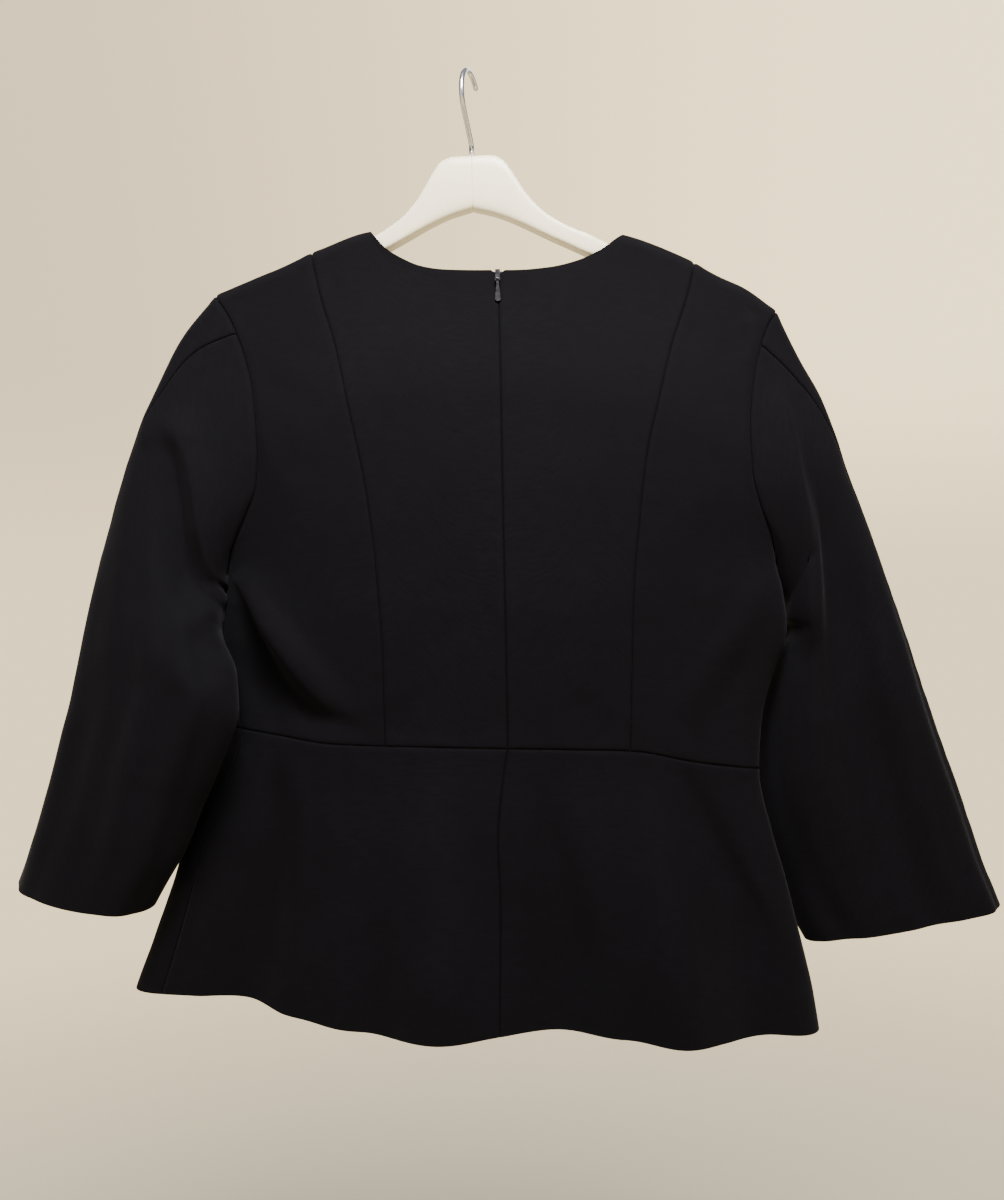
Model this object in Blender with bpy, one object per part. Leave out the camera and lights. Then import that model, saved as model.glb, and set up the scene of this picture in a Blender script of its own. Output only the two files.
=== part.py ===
"""A flared-sleeve blouse, seen from its back, hanging on a plain wooden hanger.

Lengths are in millimetres and become metres where a mesh is made. X is to the right as seen
from behind the garment, Y is away from that viewer and Z is up. The origin is the inside top
of the hanger's hook, where it hangs. The body is one flattened tube, given by a short table
of sections; each panel is a region of it between named seams. Each sleeve is a tube from its
armhole to its cuff.
"""

import math

import bmesh
import bpy
import numpy as np

MM = 0.001

# Cloth
CLOTH = 1.6
SEAM_GAP = 0.3

# Mesh density: rows down the armhole and the side, columns across each stretch of a panel
ARMHOLE_ROWS = 12
SIDE_ROWS = 6
PEPLUM_ROWS = 8
SLEEVE_ROWS = 14
SLEEVE_COLUMNS = 12
SIDE_COLUMNS = 5
SHOULDER_COLUMNS = 2
NECK_COLUMNS = 6
FRONT_NECK_COLUMNS = 8

# Shape rules of the body tube
RIDGE_RADIUS = 10.0
SIDE_ROUNDNESS = 0.8
SIDE_FADE = 150.0
BODY_FADE = 140.0
FRONT_ARMHOLE_INSET = 8.0
ZIP_HEAD_HEIGHT = -150.0
WAIST_HEIGHT = -515.0
HEM_HEIGHT = -715.0
NOTCH_HALF_WIDTH = 5.5
NOTCH_DEPTH = 4.0
FRONT_NECK_DROP = 82.0
BODY_CLEARANCE = 3.5
CLEARANCE_RAMP = 8.0
FREE_OF_ARMHOLE = 0.04
PIVOT_INSET = 45.0

# Sleeve seams, in degrees round the sleeve: 0 is its outer line, 90 its back, 180 its inner line
FRONT_SEAM = 225.0
UNDERARM_TURN = 188.0
UNDERARM_SPREAD = 34.0
UNDERARM_EASE = 0.34
ARMHOLE_BLEND = 0.22
ROW_CROWDING = 1.25

# Hanger and hook
HANGER_HALF = 205.0
HANGER_HALF_THICKNESS = 7.2
HANGER_TIP = 8.0
HANGER_SIDES = 14
WIRE_RADIUS = 2.0
CROOK_RADIUS = 19.5
CROOK_TURN = math.radians(13.0)
CROOK_END = math.radians(-42.0)
SHAFT_FOOT = -62.6
SHAFT_STRAIGHT = 8.0
CROOK_START = math.radians(128.0)
CROOK_STEPS = 16
SHAFT_STEPS = 6
WIRE_SIDES = 10

# Zip: tapes, slider and the tab on its pin
TAPE_WIDTH = 12.0
TAPE_THICKNESS = 1.0
TAPE_GAP = 0.5
TAPE_TOP = -158.6
TAPE_FOOT = -488.0
TAB_LENGTH = 17.0
TAB_WIDTH = 4.2
TAB_THICKNESS = 1.2
PIN_RADIUS = 0.5
EYE_RADIUS = 0.85
KNUCKLE_RADIUS = 1.5
KNUCKLE_HALF = 0.9
PLATE_HALF_WIDTH = 1.8
PLATE_DEPTH = 1.2
PLATE_DROP = 6.5
PLATE_STAND_OFF = 0.4
SADDLE_HALF_WIDTH = 1.0
SADDLE_HEIGHT = 2.0
SADDLE_LIFT = 1.5
CARRIER_HALF_WIDTH = 3.2
CARRIER_DEPTH = 2.0
CHEEK_GAP = 0.3
CHEEK_WIDTH = 0.7
CHEEK_HALF_HEIGHT = 1.4
CHEEK_REACH = 1.1
PIN_HEIGHT = 2.2
PIN_STAND_OFF = 0.35
TAB_SHOULDER = 0.6
TAB_NECK = 3.2


def table(columns, rows):
    """A table as one array for each named column."""
    return dict(zip(columns.split(), np.array(rows, float).T))


SECTIONS = table(
    "z left right back front",
    [
        (-110, -236, 268, 20, 18),
        (-190, -234, 266, 25, 26),
        (-260, -222, 250, 30, 34),
        (-330, -207, 235, 33, 38),
        (-374, -197.5, 223, 33, 37),
        (-405, -202, 229, 33, 35),
        (-430, -207, 231, 32, 33),
        (-470, -200, 218, 30, 30),
        (-500, -200, 211, 29, 29),
        (-535, -210, 208, 30, 30),
        (-580, -233, 216, 34, 33),
        (-622, -247, 227, 38, 35),
        (-668, -264, 237, 42, 37),
        (-701, -277, 244, 45, 39),
        (-735, -287, 249, 47, 40),
    ],
)

RIDGE = table(
    "x z",
    [
        (-250, -186),
        (-202, -162),
        (-171, -150),
        (-154, -144),
        (-118, -129),
        (-80, -117),
        (-40, -114),
        (18, -114),
        (75, -119),
        (115, -128),
        (154, -144),
        (188, -164),
        (204, -172),
        (228, -191),
        (275, -232),
    ],
)

LEFT_ARMHOLE = table(
    "z x",
    [
        (-162, -202),
        (-183, -189),
        (-196, -183.5),
        (-217, -176),
        (-242, -170),
        (-292, -166),
        (-314, -168),
        (-333, -176),
        (-348, -184),
        (-361, -191.5),
        (-382, -197.8),
    ],
)

RIGHT_ARMHOLE = table(
    "z x",
    [
        (-191, 228),
        (-203.5, 220),
        (-226, 212),
        (-244, 208),
        (-281, 204),
        (-314, 205),
        (-336, 210),
        (-354, 217.5),
        (-374, 222.9),
    ],
)

BACK_NECK = table(
    "x z",
    [
        (-80, -117),
        (-68, -132),
        (-55, -141),
        (-40, -148),
        (-24, -151.3),
        (6, -153.3),
        (36, -154.3),
        (58, -153),
        (78, -149),
        (97, -141),
        (115, -128),
    ],
)

CENTRE_BACK = table(
    "z x",
    [
        (-150, 19),
        (-260, 20.5),
        (-400, 20.5),
        (-515, 20),
        (-620, 15),
        (-730, 11),
    ],
)

PRINCESS_LEFT = table(
    "z x",
    [
        (-130, -126),
        (-168, -117.7),
        (-210, -105),
        (-262, -93.5),
        (-324, -81.5),
        (-386, -75),
        (-449, -72),
        (-520, -72),
    ],
)

PRINCESS_RIGHT = table(
    "z x",
    [
        (-150, 168),
        (-180, 160.5),
        (-216, 148),
        (-254, 138),
        (-300, 127),
        (-345, 121),
        (-406, 115),
        (-467, 112.5),
        (-520, 110.5),
    ],
)

WAIST = table(
    "x z",
    [
        (-215, -494),
        (-195, -497),
        (-152, -504),
        (-112, -510),
        (-30, -513),
        (66, -516),
        (112, -518),
        (157, -527),
        (203, -534),
        (225, -537),
    ],
)

HEM = table(
    "x z",
    [
        (-300, -702),
        (-276, -701),
        (-210, -698),
        (-180, -701),
        (-150, -708),
        (-80, -719),
        (-31, -721),
        (10, -720),
        (110, -725),
        (146, -727),
        (200, -729),
        (248, -731),
        (270, -731),
    ],
)
# How far the side seams turn from the edge of the flattened tube, in degrees towards the back
SIDE_TURN = table(
    "z left right",
    [
        (-380, 0, 0),
        (-430, 10, -3),
        (-470, 19, -4),
        (-515, 22, -6),
        (-640, 25, -8),
        (-735, 27, -9),
    ],
)

# Folds run from (x0, z0) to (x1, z1); push is outwards. A fold that fades dies away at both
# ends, the others grow from their first end to the hem.
FOLDS = "x0 z0 x1 z1 wide0 wide1 push fades"
BACK_FOLDS = table(
    FOLDS,
    [
        (-193, -384, -98, -502, 18, 26, 8, 1),
        (-190, -430, -150, -512, 14, 22, -6, 1),
        (218, -385, 150, -500, 16, 24, 4, 1),
        (-150, -506, -184, -714, 16, 40, -14, 0),
        (-92, -512, -108, -720, 18, 30, 4, 0),
        (-30, -514, -31, -722, 24, 62, 18, 0),
        (50, -517, 56, -722, 16, 44, -13, 0),
        (116, -520, 146, -724, 20, 44, 18, 0),
        (160, -528, 208, -727, 14, 34, -14, 0),
    ],
)
FRONT_FOLDS = table(
    FOLDS,
    [
        (-188, -388, -92, -490, 18, 26, 6, 1),
        (214, -392, 118, -505, 18, 26, 7, 1),
        (-150, -506, -205, -712, 16, 38, 14, 0),
        (-100, -511, -142, -716, 16, 34, -11, 0),
        (-48, -513, -72, -718, 22, 46, 15, 0),
        (12, -516, 4, -720, 18, 44, -13, 0),
        (70, -518, 84, -722, 22, 48, 17, 0),
        (118, -522, 150, -724, 14, 34, -12, 0),
        (160, -528, 202, -727, 16, 34, 12, 0),
    ],
)

SLEEVE = "outer_x outer_z outer_y inner_x inner_z inner_y back front"
LEFT_SLEEVE = table(
    SLEEVE,
    [
        (-202, -162, 0, -197.8, -382, 0, 15, 15),
        (-229, -194, -2, -203, -390, -1, 19, 17),
        (-246, -226, -4, -205, -398, -4, 23, 18),
        (-261, -261, -6, -205, -407, -11, 28, 20),
        (-277, -307, -8, -200, -420, -22, 32, 22),
        (-288, -347, -9, -190, -436, -33, 35, 25),
        (-297, -380, -10, -180, -454, -41, 38, 28),
        (-305, -416, -12, -177, -480, -46, 41, 31),
        (-316, -467, -14, -193, -524, -47, 43, 34),
        (-327, -513, -15, -206, -552, -46, 44, 38),
        (-341, -560, -15, -222, -587, -45, 45, 42),
        (-351, -590, -15, -236, -610, -45, 46, 45),
        (-359, -610, -15, -246, -627, -45, 46, 46),
    ],
)
RIGHT_SLEEVE = table(
    SLEEVE,
    [
        (228, -191, 0, 222.9, -374, 0, 15, 15),
        (245, -227, 2, 229, -385, 5, 20, 20),
        (261, -257, 4, 233, -400, 11, 23, 23),
        (271, -284, 6, 236, -416, 17, 26, 26),
        (280, -313, 8, 232, -434, 22, 28, 28),
        (292, -346, 9, 226, -454, 26, 30, 30),
        (301, -371, 10, 220, -474, 29, 31, 31),
        (310, -399, 10, 215, -496, 31, 31, 31),
        (320, -430, 11, 212, -522, 32, 31, 31),
        (332, -468, 12, 212, -554, 32, 30, 30),
        (345, -509, 13, 216, -588, 32, 29, 29),
        (360, -555, 14, 225, -623, 32, 28, 28),
        (376, -607, 15, 236, -653, 30, 27, 27),
        (389, -643, 15, 246, -673, 27, 26, 26),
    ],
)
# Where the sleeve's back seam lies round it, from the armhole to the cuff
SEAM_DRIFT = table(
    "s angle",
    [
        (0, 45),
        (0.07, 33),
        (0.17, 25),
        (0.3, 14),
        (0.45, 6),
        (0.65, 0),
        (1, -6),
    ],
)

# Folds along a sleeve run from (s0, angle0) to (s1, angle1), in shares of its length and degrees
SLEEVE_FOLDS = "s0 angle0 s1 angle1 wide push"
LEFT_SLEEVE_FOLDS = table(
    SLEEVE_FOLDS,
    [
        (0.16, 70, 0.98, 96, 20, -4.0),
        (0.2, 112, 1.05, 138, 20, 4.5),
        (0.3, 28, 1.1, 52, 18, 3.0),
        (0.2, 250, 1.1, 262, 24, 4.0),
        (0.25, 300, 1.1, 306, 20, -4.0),
    ],
)
RIGHT_SLEEVE_FOLDS = table(
    SLEEVE_FOLDS,
    [
        (0.12, 96, 0.75, 112, 18, 4.5),
        (0.22, 66, 1.1, 74, 20, -5.0),
        (0.35, 34, 1.1, 38, 18, 4.0),
        (0.3, 146, 1.1, 128, 16, -3.0),
        (0.2, 244, 1.1, 262, 24, 4.0),
        (0.3, 310, 1.1, 300, 20, -4.0),
    ],
)

HANGER_TOP = table(
    "x z",
    [
        (0, -63),
        (14, -63),
        (23, -66),
        (29, -73),
        (35, -83),
        (43, -95.5),
        (57, -110),
        (78, -122.5),
        (103, -132),
        (125, -139.4),
        (154, -147.8),
        (170, -156.2),
        (188, -168.4),
        (198, -175.2),
        (205, -181),
    ],
)
HANGER_FOOT = table(
    "x z",
    [
        (0, -104),
        (18, -109),
        (66, -132),
        (103, -149.5),
        (125, -156),
        (154, -164),
        (188, -184.5),
        (198, -189.5),
        (205, -188),
    ],
)
# Where the hanger's cross-sections lie along each arm
HANGER_STATIONS = table(
    "x",
    [(0,), (10,), (16,), (22,), (28,), (34,), (41,), (50,), (62,), (80,), (105,)]
    + [(130,), (154,), (172,), (188,), (197,), (202,), (205,)],
)


def curve(data, key, value):
    """A smooth function through a table's rows that never swings past them."""
    order = np.argsort(data[key])
    at = data[key][order]
    out = data[value][order]
    step = np.diff(at)
    rise = np.diff(out) / step
    slope = np.empty(len(at))
    slope[0] = rise[0]
    slope[-1] = rise[-1]
    same = rise[:-1] * rise[1:] > 0
    total = np.where(same, rise[:-1] + rise[1:], 1.0)
    slope[1:-1] = np.where(same, 2 * rise[:-1] * rise[1:] / total, 0.0)

    def read(x):
        x = np.asarray(x, float)
        i = np.clip(np.searchsorted(at, x) - 1, 0, len(step) - 1)
        t = (x - at[i]) / step[i]
        inside = np.clip(t, 0, 1)
        beyond = (t - inside) * step[i] * np.where(t < 0, slope[0], slope[-1])
        a = (1 + 2 * inside) * (1 - inside) ** 2 * out[i] + inside**2 * (3 - 2 * inside) * out[i + 1]
        b = inside * (1 - inside) ** 2 * slope[i] - inside**2 * (1 - inside) * slope[i + 1]
        return a + b * step[i] + beyond

    return read


left_edge = curve(SECTIONS, "z", "left")
right_edge = curve(SECTIONS, "z", "right")
back_depth = curve(SECTIONS, "z", "back")
front_depth = curve(SECTIONS, "z", "front")
ridge = curve(RIDGE, "x", "z")
waist_height = curve(WAIST, "x", "z")
hem_height = curve(HEM, "x", "z")
neck_height = curve(BACK_NECK, "x", "z")
centre_back = curve(CENTRE_BACK, "z", "x")
princess = {"left": curve(PRINCESS_LEFT, "z", "x"), "right": curve(PRINCESS_RIGHT, "z", "x")}
armhole_x = {"left": curve(LEFT_ARMHOLE, "z", "x"), "right": curve(RIGHT_ARMHOLE, "z", "x")}
armhole_span = {
    "left": (LEFT_ARMHOLE["z"].max(), LEFT_ARMHOLE["z"].min()),
    "right": (RIGHT_ARMHOLE["z"].max(), RIGHT_ARMHOLE["z"].min()),
}
side_turn = {"left": curve(SIDE_TURN, "z", "left"), "right": curve(SIDE_TURN, "z", "right")}
seam_angle = curve(SEAM_DRIFT, "s", "angle")
NECK_LEFT = BACK_NECK["x"].min()
NECK_RIGHT = BACK_NECK["x"].max()
PRINCESS_TOP = {"left": PRINCESS_LEFT["x"][0], "right": PRINCESS_RIGHT["x"][0]}


def smooth(t):
    """0 to 1 with level ends."""
    t = np.clip(t, 0, 1)
    return t * t * (3 - 2 * t)


def fold_push(folds, x, z):
    """How far the folds push the cloth out at a place on the body."""
    total = np.zeros(np.broadcast(x, z).shape)
    for i in range(len(folds["x0"])):
        f = {name: column[i] for name, column in folds.items()}
        run = np.array([f["x1"] - f["x0"], f["z1"] - f["z0"]])
        length = np.hypot(*run)
        run = run / length
        along = ((x - f["x0"]) * run[0] + (z - f["z0"]) * run[1]) / length
        t = np.clip(along, 0, 1)
        wide = f["wide0"] + (f["wide1"] - f["wide0"]) * t
        across = np.abs((x - f["x0"]) * run[1] - (z - f["z0"]) * run[0]) / wide
        strength = np.sin(np.pi * t) if f["fades"] else smooth(t)
        total = total + f["push"] * strength * np.cos(np.clip(across, 0, 1) * np.pi / 2) ** 2
    return total


def body_x(angle, z):
    low, high = left_edge(z), right_edge(z)
    return low + (high - low) * (1 - np.cos(angle)) / 2


def body_angle(x, z):
    """The angle round the body's back at which it is x wide: 0 at the left, pi at the right."""
    share = (x - left_edge(z)) / (right_edge(z) - left_edge(z))
    return np.arccos(np.clip(1 - 2 * share, -1, 1))


def body_point(angle, z):
    """A point of the body's outside. Angles up to pi are its back and from pi to 2 pi its front.

    A height above the shoulder ridge runs on over the ridge and down the other side.
    """
    angle, z = np.broadcast_arrays(np.asarray(angle, float), np.asarray(z, float))
    x = body_x(angle, z)
    below = ridge(x) - z
    over = below < 0
    below = np.abs(below)
    height = ridge(x) - below
    back = (np.sin(angle) >= 0) != over
    side = np.abs(np.sin(angle)) ** SIDE_ROUNDNESS
    near = np.minimum(below, RIDGE_RADIUS) / RIDGE_RADIUS
    rounding = RIDGE_RADIUS * np.sqrt(1 - (1 - near) ** 2)
    rounding = rounding * (1 + (side - 1) * smooth(below / SIDE_FADE))
    full = np.where(back, back_depth(height), front_depth(height)) - RIDGE_RADIUS
    push = np.where(back, fold_push(BACK_FOLDS, x, height), fold_push(FRONT_FOLDS, x, height))
    depth = rounding + side * (full * smooth(below / BODY_FADE) + push)
    return np.stack([x, np.where(back, -depth, depth), height], axis=-1)


def surface_normals(surface, u, v, step_u, step_v):
    """Unit normals of a two-parameter surface, by small steps to both sides."""
    du = surface(u + step_u, v) - surface(u - step_u, v)
    dv = surface(u, v + step_v) - surface(u, v - step_v)
    normal = np.cross(du, dv)
    return normal / np.linalg.norm(normal, axis=-1, keepdims=True)


def body_normals(angle, z):
    return surface_normals(body_point, angle, z, 0.004, 0.4)


def on_line(angle, height):
    """(angle, z) where the body at that angle meets a line given as a height over x."""
    z = np.full(np.shape(angle), float(height(0.0)))
    for _ in range(12):
        z = height(body_x(angle, z))
    return np.stack([angle, z], axis=-1)


def seam_foot(seam, height):
    """The z where a seam, given as x over z, meets a line given as a height over x."""
    z = float(height(seam(WAIST_HEIGHT)))
    for _ in range(12):
        z = float(height(seam(z)))
    return z


def armhole(side, turn):
    """(angle, z) on an armhole, turn in degrees: 0 at the shoulder, 90 at the back, 180 below."""
    turn = (np.asarray(turn, float) + 180) % 360 - 180
    turn = np.where(turn == -180, 180.0, turn)
    top, foot = armhole_span[side]
    z = top + (foot - top) * (1 - np.cos(np.radians(turn))) / 2
    inwards = 1 if side == "left" else -1
    inset = np.where(turn < 0, FRONT_ARMHOLE_INSET * np.sin(np.radians(np.abs(turn))), 0)
    x = armhole_x[side](z) + inwards * inset
    angle = body_angle(x, z)
    return np.where(turn < 0, 2 * np.pi - angle, angle), z


def side_seam_angle(side, z):
    turn = np.radians(side_turn[side](z))
    return turn if side == "left" else np.pi - turn


def side_boundary(side, face):
    """(angle, z) rows down the armhole and then the side seam, to the waist."""
    turns = np.linspace(0, 180, ARMHOLE_ROWS + 1)
    angle, z = armhole(side, turns if face == "back" else -turns)
    if face == "front":
        angle = angle.copy()
        angle[0] = 2 * np.pi - angle[0]
        angle[-1] = 2 * np.pi if side == "left" else np.pi
    foot = armhole_span[side][1]
    waist_z = float(on_line(side_seam_angle(side, WAIST_HEIGHT), waist_height)[1])
    down = np.linspace(foot, waist_z, SIDE_ROWS + 1)[1:]
    seam = side_seam_angle(side, down)
    if face == "front" and side == "left":
        seam = seam + 2 * np.pi
    rows = np.concatenate([np.stack([angle, z], -1), np.stack([seam, down], -1)])
    rows[-1, 1] = float(on_line(rows[-1, 0], waist_height)[1])
    return rows


def row_shares(*boundaries):
    """How far down each row lies, from 0 to 1, as the mean of some boundaries."""
    shares = [(b[:, 1] - b[0, 1]) / (b[-1, 1] - b[0, 1]) for b in boundaries]
    return np.mean(shares, axis=0)


def seam_rows(seam, top, foot, shares):
    z = top + (foot - top) * shares
    return np.stack([body_angle(seam(z), z), z], axis=-1)


def ridge_columns(x0, x1, count, face):
    """(angle, z) along the shoulder ridge."""
    x = np.linspace(x0, x1, count + 1)
    z = ridge(x)
    angle = body_angle(x, z)
    return np.stack([angle if face == "back" else 2 * np.pi - angle, z], axis=-1)


def waist_columns(start_angle, end_angle, count):
    return on_line(np.linspace(start_angle, end_angle, count + 1), waist_height)


def patch(top, foot, left, right):
    """A grid of (angle, z) filled in between its four edges."""
    across = np.linspace(0, 1, len(top))[None, :, None]
    down = row_shares(left, right)[:, None, None]
    ruled = (1 - down) * top[None] + down * foot[None]
    sides = (1 - across) * left[:, None] + across * right[:, None]
    corners = (1 - down) * ((1 - across) * top[0] + across * top[-1])
    corners = corners + down * ((1 - across) * foot[0] + across * foot[-1])
    return ruled + sides - corners


def mixed_normal(side, turn):
    """The normal shared by a body panel and a sleeve where they meet at an armhole."""
    body = body_normals(*armhole(side, turn))
    sleeve = sleeve_normals(side, np.zeros(np.shape(turn)), turn)
    total = body + sleeve
    return total / np.linalg.norm(total, axis=-1, keepdims=True)


def sleeve_shares(data):
    """How far along the sleeve each row of its table lies, from 0 to 1."""
    x = (data["outer_x"] + data["inner_x"]) / 2
    z = (data["outer_z"] + data["inner_z"]) / 2
    run = np.concatenate([[0], np.cumsum(np.hypot(np.diff(x), np.diff(z)))])
    return run / run[-1]


def sleeve_curves(data):
    data = dict(data, s=sleeve_shares(data))
    return {name: curve(data, "s", name) for name in SLEEVE.split()}


SLEEVES = {"left": sleeve_curves(LEFT_SLEEVE), "right": sleeve_curves(RIGHT_SLEEVE)}
SLEEVE_FOLD_ROWS = {"left": LEFT_SLEEVE_FOLDS, "right": RIGHT_SLEEVE_FOLDS}


def sleeve_fold(side, s, turn):
    """How far the folds push the sleeve out, in millimetres."""
    folds = SLEEVE_FOLD_ROWS[side]
    total = np.zeros(np.broadcast(s, turn).shape)
    for i in range(len(folds["s0"])):
        f = {name: column[i] for name, column in folds.items()}
        t = (s - f["s0"]) / (f["s1"] - f["s0"])
        middle = f["angle0"] + (f["angle1"] - f["angle0"]) * np.clip(t, 0, 1)
        across = np.abs((turn - middle + 180) % 360 - 180) / f["wide"]
        strength = smooth(3 * t) * smooth(4 * (1 - t) + 0.3)
        total = total + f["push"] * strength * np.cos(np.clip(across, 0, 1) * np.pi / 2) ** 2
    return total


def sleeve_ring(side, s, turn):
    c = SLEEVES[side]
    outer = np.stack([c["outer_x"](s), c["outer_y"](s), c["outer_z"](s)], axis=-1)
    inner = np.stack([c["inner_x"](s), c["inner_y"](s), c["inner_z"](s)], axis=-1)
    round_angle = np.radians(turn)
    half = (outer - inner) / 2
    width = np.linalg.norm(half, axis=-1)
    fold = sleeve_fold(side, s, turn)
    grow = (1 + fold / width)[..., None]
    point = (outer + inner) / 2 + half * np.cos(round_angle)[..., None] * grow
    depth = np.where(np.sin(round_angle) > 0, c["back"](s), c["front"](s))
    point[..., 1] -= (depth + fold) * np.sin(round_angle)
    return point


def sleeve_point(side, s, turn):
    """A point of a sleeve's outside: s runs from the armhole, 0, to the cuff, 1."""
    s, turn = np.broadcast_arrays(np.asarray(s, float), np.asarray(turn, float))
    start = body_point(*armhole(side, turn)) - sleeve_ring(side, np.zeros(s.shape), turn)
    point = sleeve_ring(side, s, turn) + start * (1 - smooth(s / ARMHOLE_BLEND))[..., None]
    moved = clear_of_body(side, point)
    free = smooth(s / FREE_OF_ARMHOLE)[..., None]
    return point + (moved - point) * free


def clear_of_body(side, point):
    """Moves points of a sleeve that would lie inside the body's edge out past it."""
    x, y, z = (point[..., i] for i in range(3))
    outwards = -1 if side == "left" else 1
    rim = left_edge(z) if side == "left" else right_edge(z)
    pivot = rim - outwards * PIVOT_INSET
    bearing = np.arctan2(-y, outwards * (x - pivot))
    low = np.full(z.shape, -np.pi / 3)
    high = np.full(z.shape, np.pi / 3)
    for _ in range(30):
        middle = (low + high) / 2
        edge = body_edge_point(side, middle, z)
        short = np.arctan2(-edge[..., 1], outwards * (edge[..., 0] - pivot)) < bearing
        low = np.where(short, middle, low)
        high = np.where(short, high, middle)
    edge = body_edge_point(side, (low + high) / 2, z)
    needed = np.hypot(edge[..., 1], edge[..., 0] - pivot) + BODY_CLEARANCE
    now = np.hypot(y, x - pivot)
    inside = (np.abs(bearing) < np.pi / 2) & (now < needed)
    below = smooth((armhole_span[side][1] + CLEARANCE_RAMP - z) / (2 * CLEARANCE_RAMP))
    scale = np.where(inside, 1 + (needed / np.maximum(now, 1e-6) - 1) * below, 1.0)
    moved = point.copy()
    moved[..., 0] = pivot + (x - pivot) * scale
    moved[..., 1] = y * scale
    return moved


def body_edge_point(side, turn, z):
    """A point near the body's side edge: turn 0 is the edge itself, more is towards the back."""
    return body_point((turn if side == "left" else np.pi - turn) % (2 * np.pi), z)


def sleeve_normals(side, s, turn):
    def surface(turn, s):
        return sleeve_point(side, s, turn)

    normal = surface_normals(surface, turn, s, 1.0, 0.004)
    return -normal if side == "left" else normal


def inset_edges(points):
    """The grid with its four edges drawn in by half a seam gap."""
    points = points.copy()
    for _ in range(2):
        for edge in (0, -1):
            inner = 1 if edge == 0 else -2
            inwards = points[inner] - points[edge]
            tangent = np.gradient(points[edge], axis=0)
            tangent /= np.linalg.norm(tangent, axis=-1, keepdims=True)
            inwards -= (inwards * tangent).sum(-1, keepdims=True) * tangent
            inwards /= np.linalg.norm(inwards, axis=-1, keepdims=True)
            points[edge] += inwards * SEAM_GAP / 2
        points = points.swapaxes(0, 1)
    return points


def material(name, colour, roughness, metallic=0.0):
    made = bpy.data.materials.new(name)
    made.use_nodes = True
    shader = made.node_tree.nodes["Principled BSDF"]
    shader.inputs["Base Color"].default_value = (*colour, 1.0)
    shader.inputs["Roughness"].default_value = roughness
    shader.inputs["Metallic"].default_value = metallic
    return made


def add_solid(name, points, faces, finish, origin=(0, 0, 0)):
    """One closed object facing out, from points in millimetres."""
    origin = np.array(origin, float)
    mesh = bpy.data.meshes.new(name)
    mesh.from_pydata(((np.asarray(points) - origin) * MM).tolist(), [], faces)
    work = bmesh.new()
    work.from_mesh(mesh)
    bmesh.ops.recalc_face_normals(work, faces=work.faces[:])
    work.to_mesh(mesh)
    work.free()
    mesh.materials.append(finish)
    mesh.shade_smooth()
    mesh.set_sharp_from_angle(angle=math.radians(40))
    made = bpy.data.objects.new(name, mesh)
    made.location = origin * MM
    bpy.context.scene.collection.objects.link(made)
    return made


def add_wall(name, outside, normals, thickness, finish):
    """A sheet of cloth: the outside grid, an inside grid one thickness behind it, and its rim."""
    rows, columns = outside.shape[:2]
    edged = inset_edges(outside)
    points = np.concatenate([edged.reshape(-1, 3), (edged - normals * thickness).reshape(-1, 3)])
    layer = rows * columns

    def at(i, j, inside=0):
        return i * columns + j + inside * layer

    faces = []
    for i in range(rows - 1):
        for j in range(columns - 1):
            a, b, c, d = at(i, j), at(i, j + 1), at(i + 1, j + 1), at(i + 1, j)
            faces += [(a, b, c), (a, c, d)]
            faces += [(a + layer, c + layer, b + layer), (a + layer, d + layer, c + layer)]
    rim = [at(0, j) for j in range(columns)]
    rim += [at(i, columns - 1) for i in range(1, rows)]
    rim += [at(rows - 1, j) for j in range(columns - 2, -1, -1)]
    rim += [at(i, 0) for i in range(rows - 2, 0, -1)]
    for a, b in zip(rim, rim[1:] + rim[:1]):
        faces += [(b, a, a + layer), (b, a + layer, b + layer)]
    return add_solid(name, points, faces, finish)


def add_panel(name, grid, finish, armhole_edges=()):
    """A body panel from its grid of (angle, z), with the armhole normals shared with a sleeve."""
    angle, z = grid[..., 0], grid[..., 1]
    normals = body_normals(angle, z)
    for column, side, sign in armhole_edges:
        turns = np.linspace(0, 180, ARMHOLE_ROWS + 1) * sign
        normals[: ARMHOLE_ROWS + 1, column] = mixed_normal(side, turns)
    return add_wall(name, body_point(angle, z), normals, CLOTH, finish)


def neck_line(x):
    """The back neckline with the small notch at the head of the zip."""
    off = np.abs(x - centre_back(ZIP_HEAD_HEIGHT)) / NOTCH_HALF_WIDTH
    return neck_height(x) - NOTCH_DEPTH * np.clip(1 - off, 0, 1)


def neck_columns(side):
    """(angle, z) along one half of the back neckline, from the neck point to the centre back."""
    centre = float(centre_back(ZIP_HEAD_HEIGHT))
    outer = NECK_LEFT if side == "left" else NECK_RIGHT
    towards = 1 if side == "left" else -1
    shoulder = centre - towards * NOTCH_HALF_WIDTH
    t = np.linspace(0, 1, NECK_COLUMNS)
    x = np.append(outer + (shoulder - outer) * t**2.5, centre)
    z = neck_line(x)
    return np.stack([body_angle(x, z), z], axis=-1)


def front_neck_columns():
    """(angle, z) along the plain round front neckline, from left to right."""
    turn = np.pi * (1 - np.cos(np.linspace(0, np.pi, FRONT_NECK_COLUMNS + 1))) / 2
    x = (NECK_LEFT + NECK_RIGHT) / 2 - (NECK_RIGHT - NECK_LEFT) / 2 * np.cos(turn)
    chord = ridge(NECK_LEFT) + (ridge(NECK_RIGHT) - ridge(NECK_LEFT)) * (1 - np.cos(turn)) / 2
    z = chord - FRONT_NECK_DROP * np.sin(turn) ** 0.9
    return np.stack([2 * np.pi - body_angle(x, z), z], axis=-1)


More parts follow.
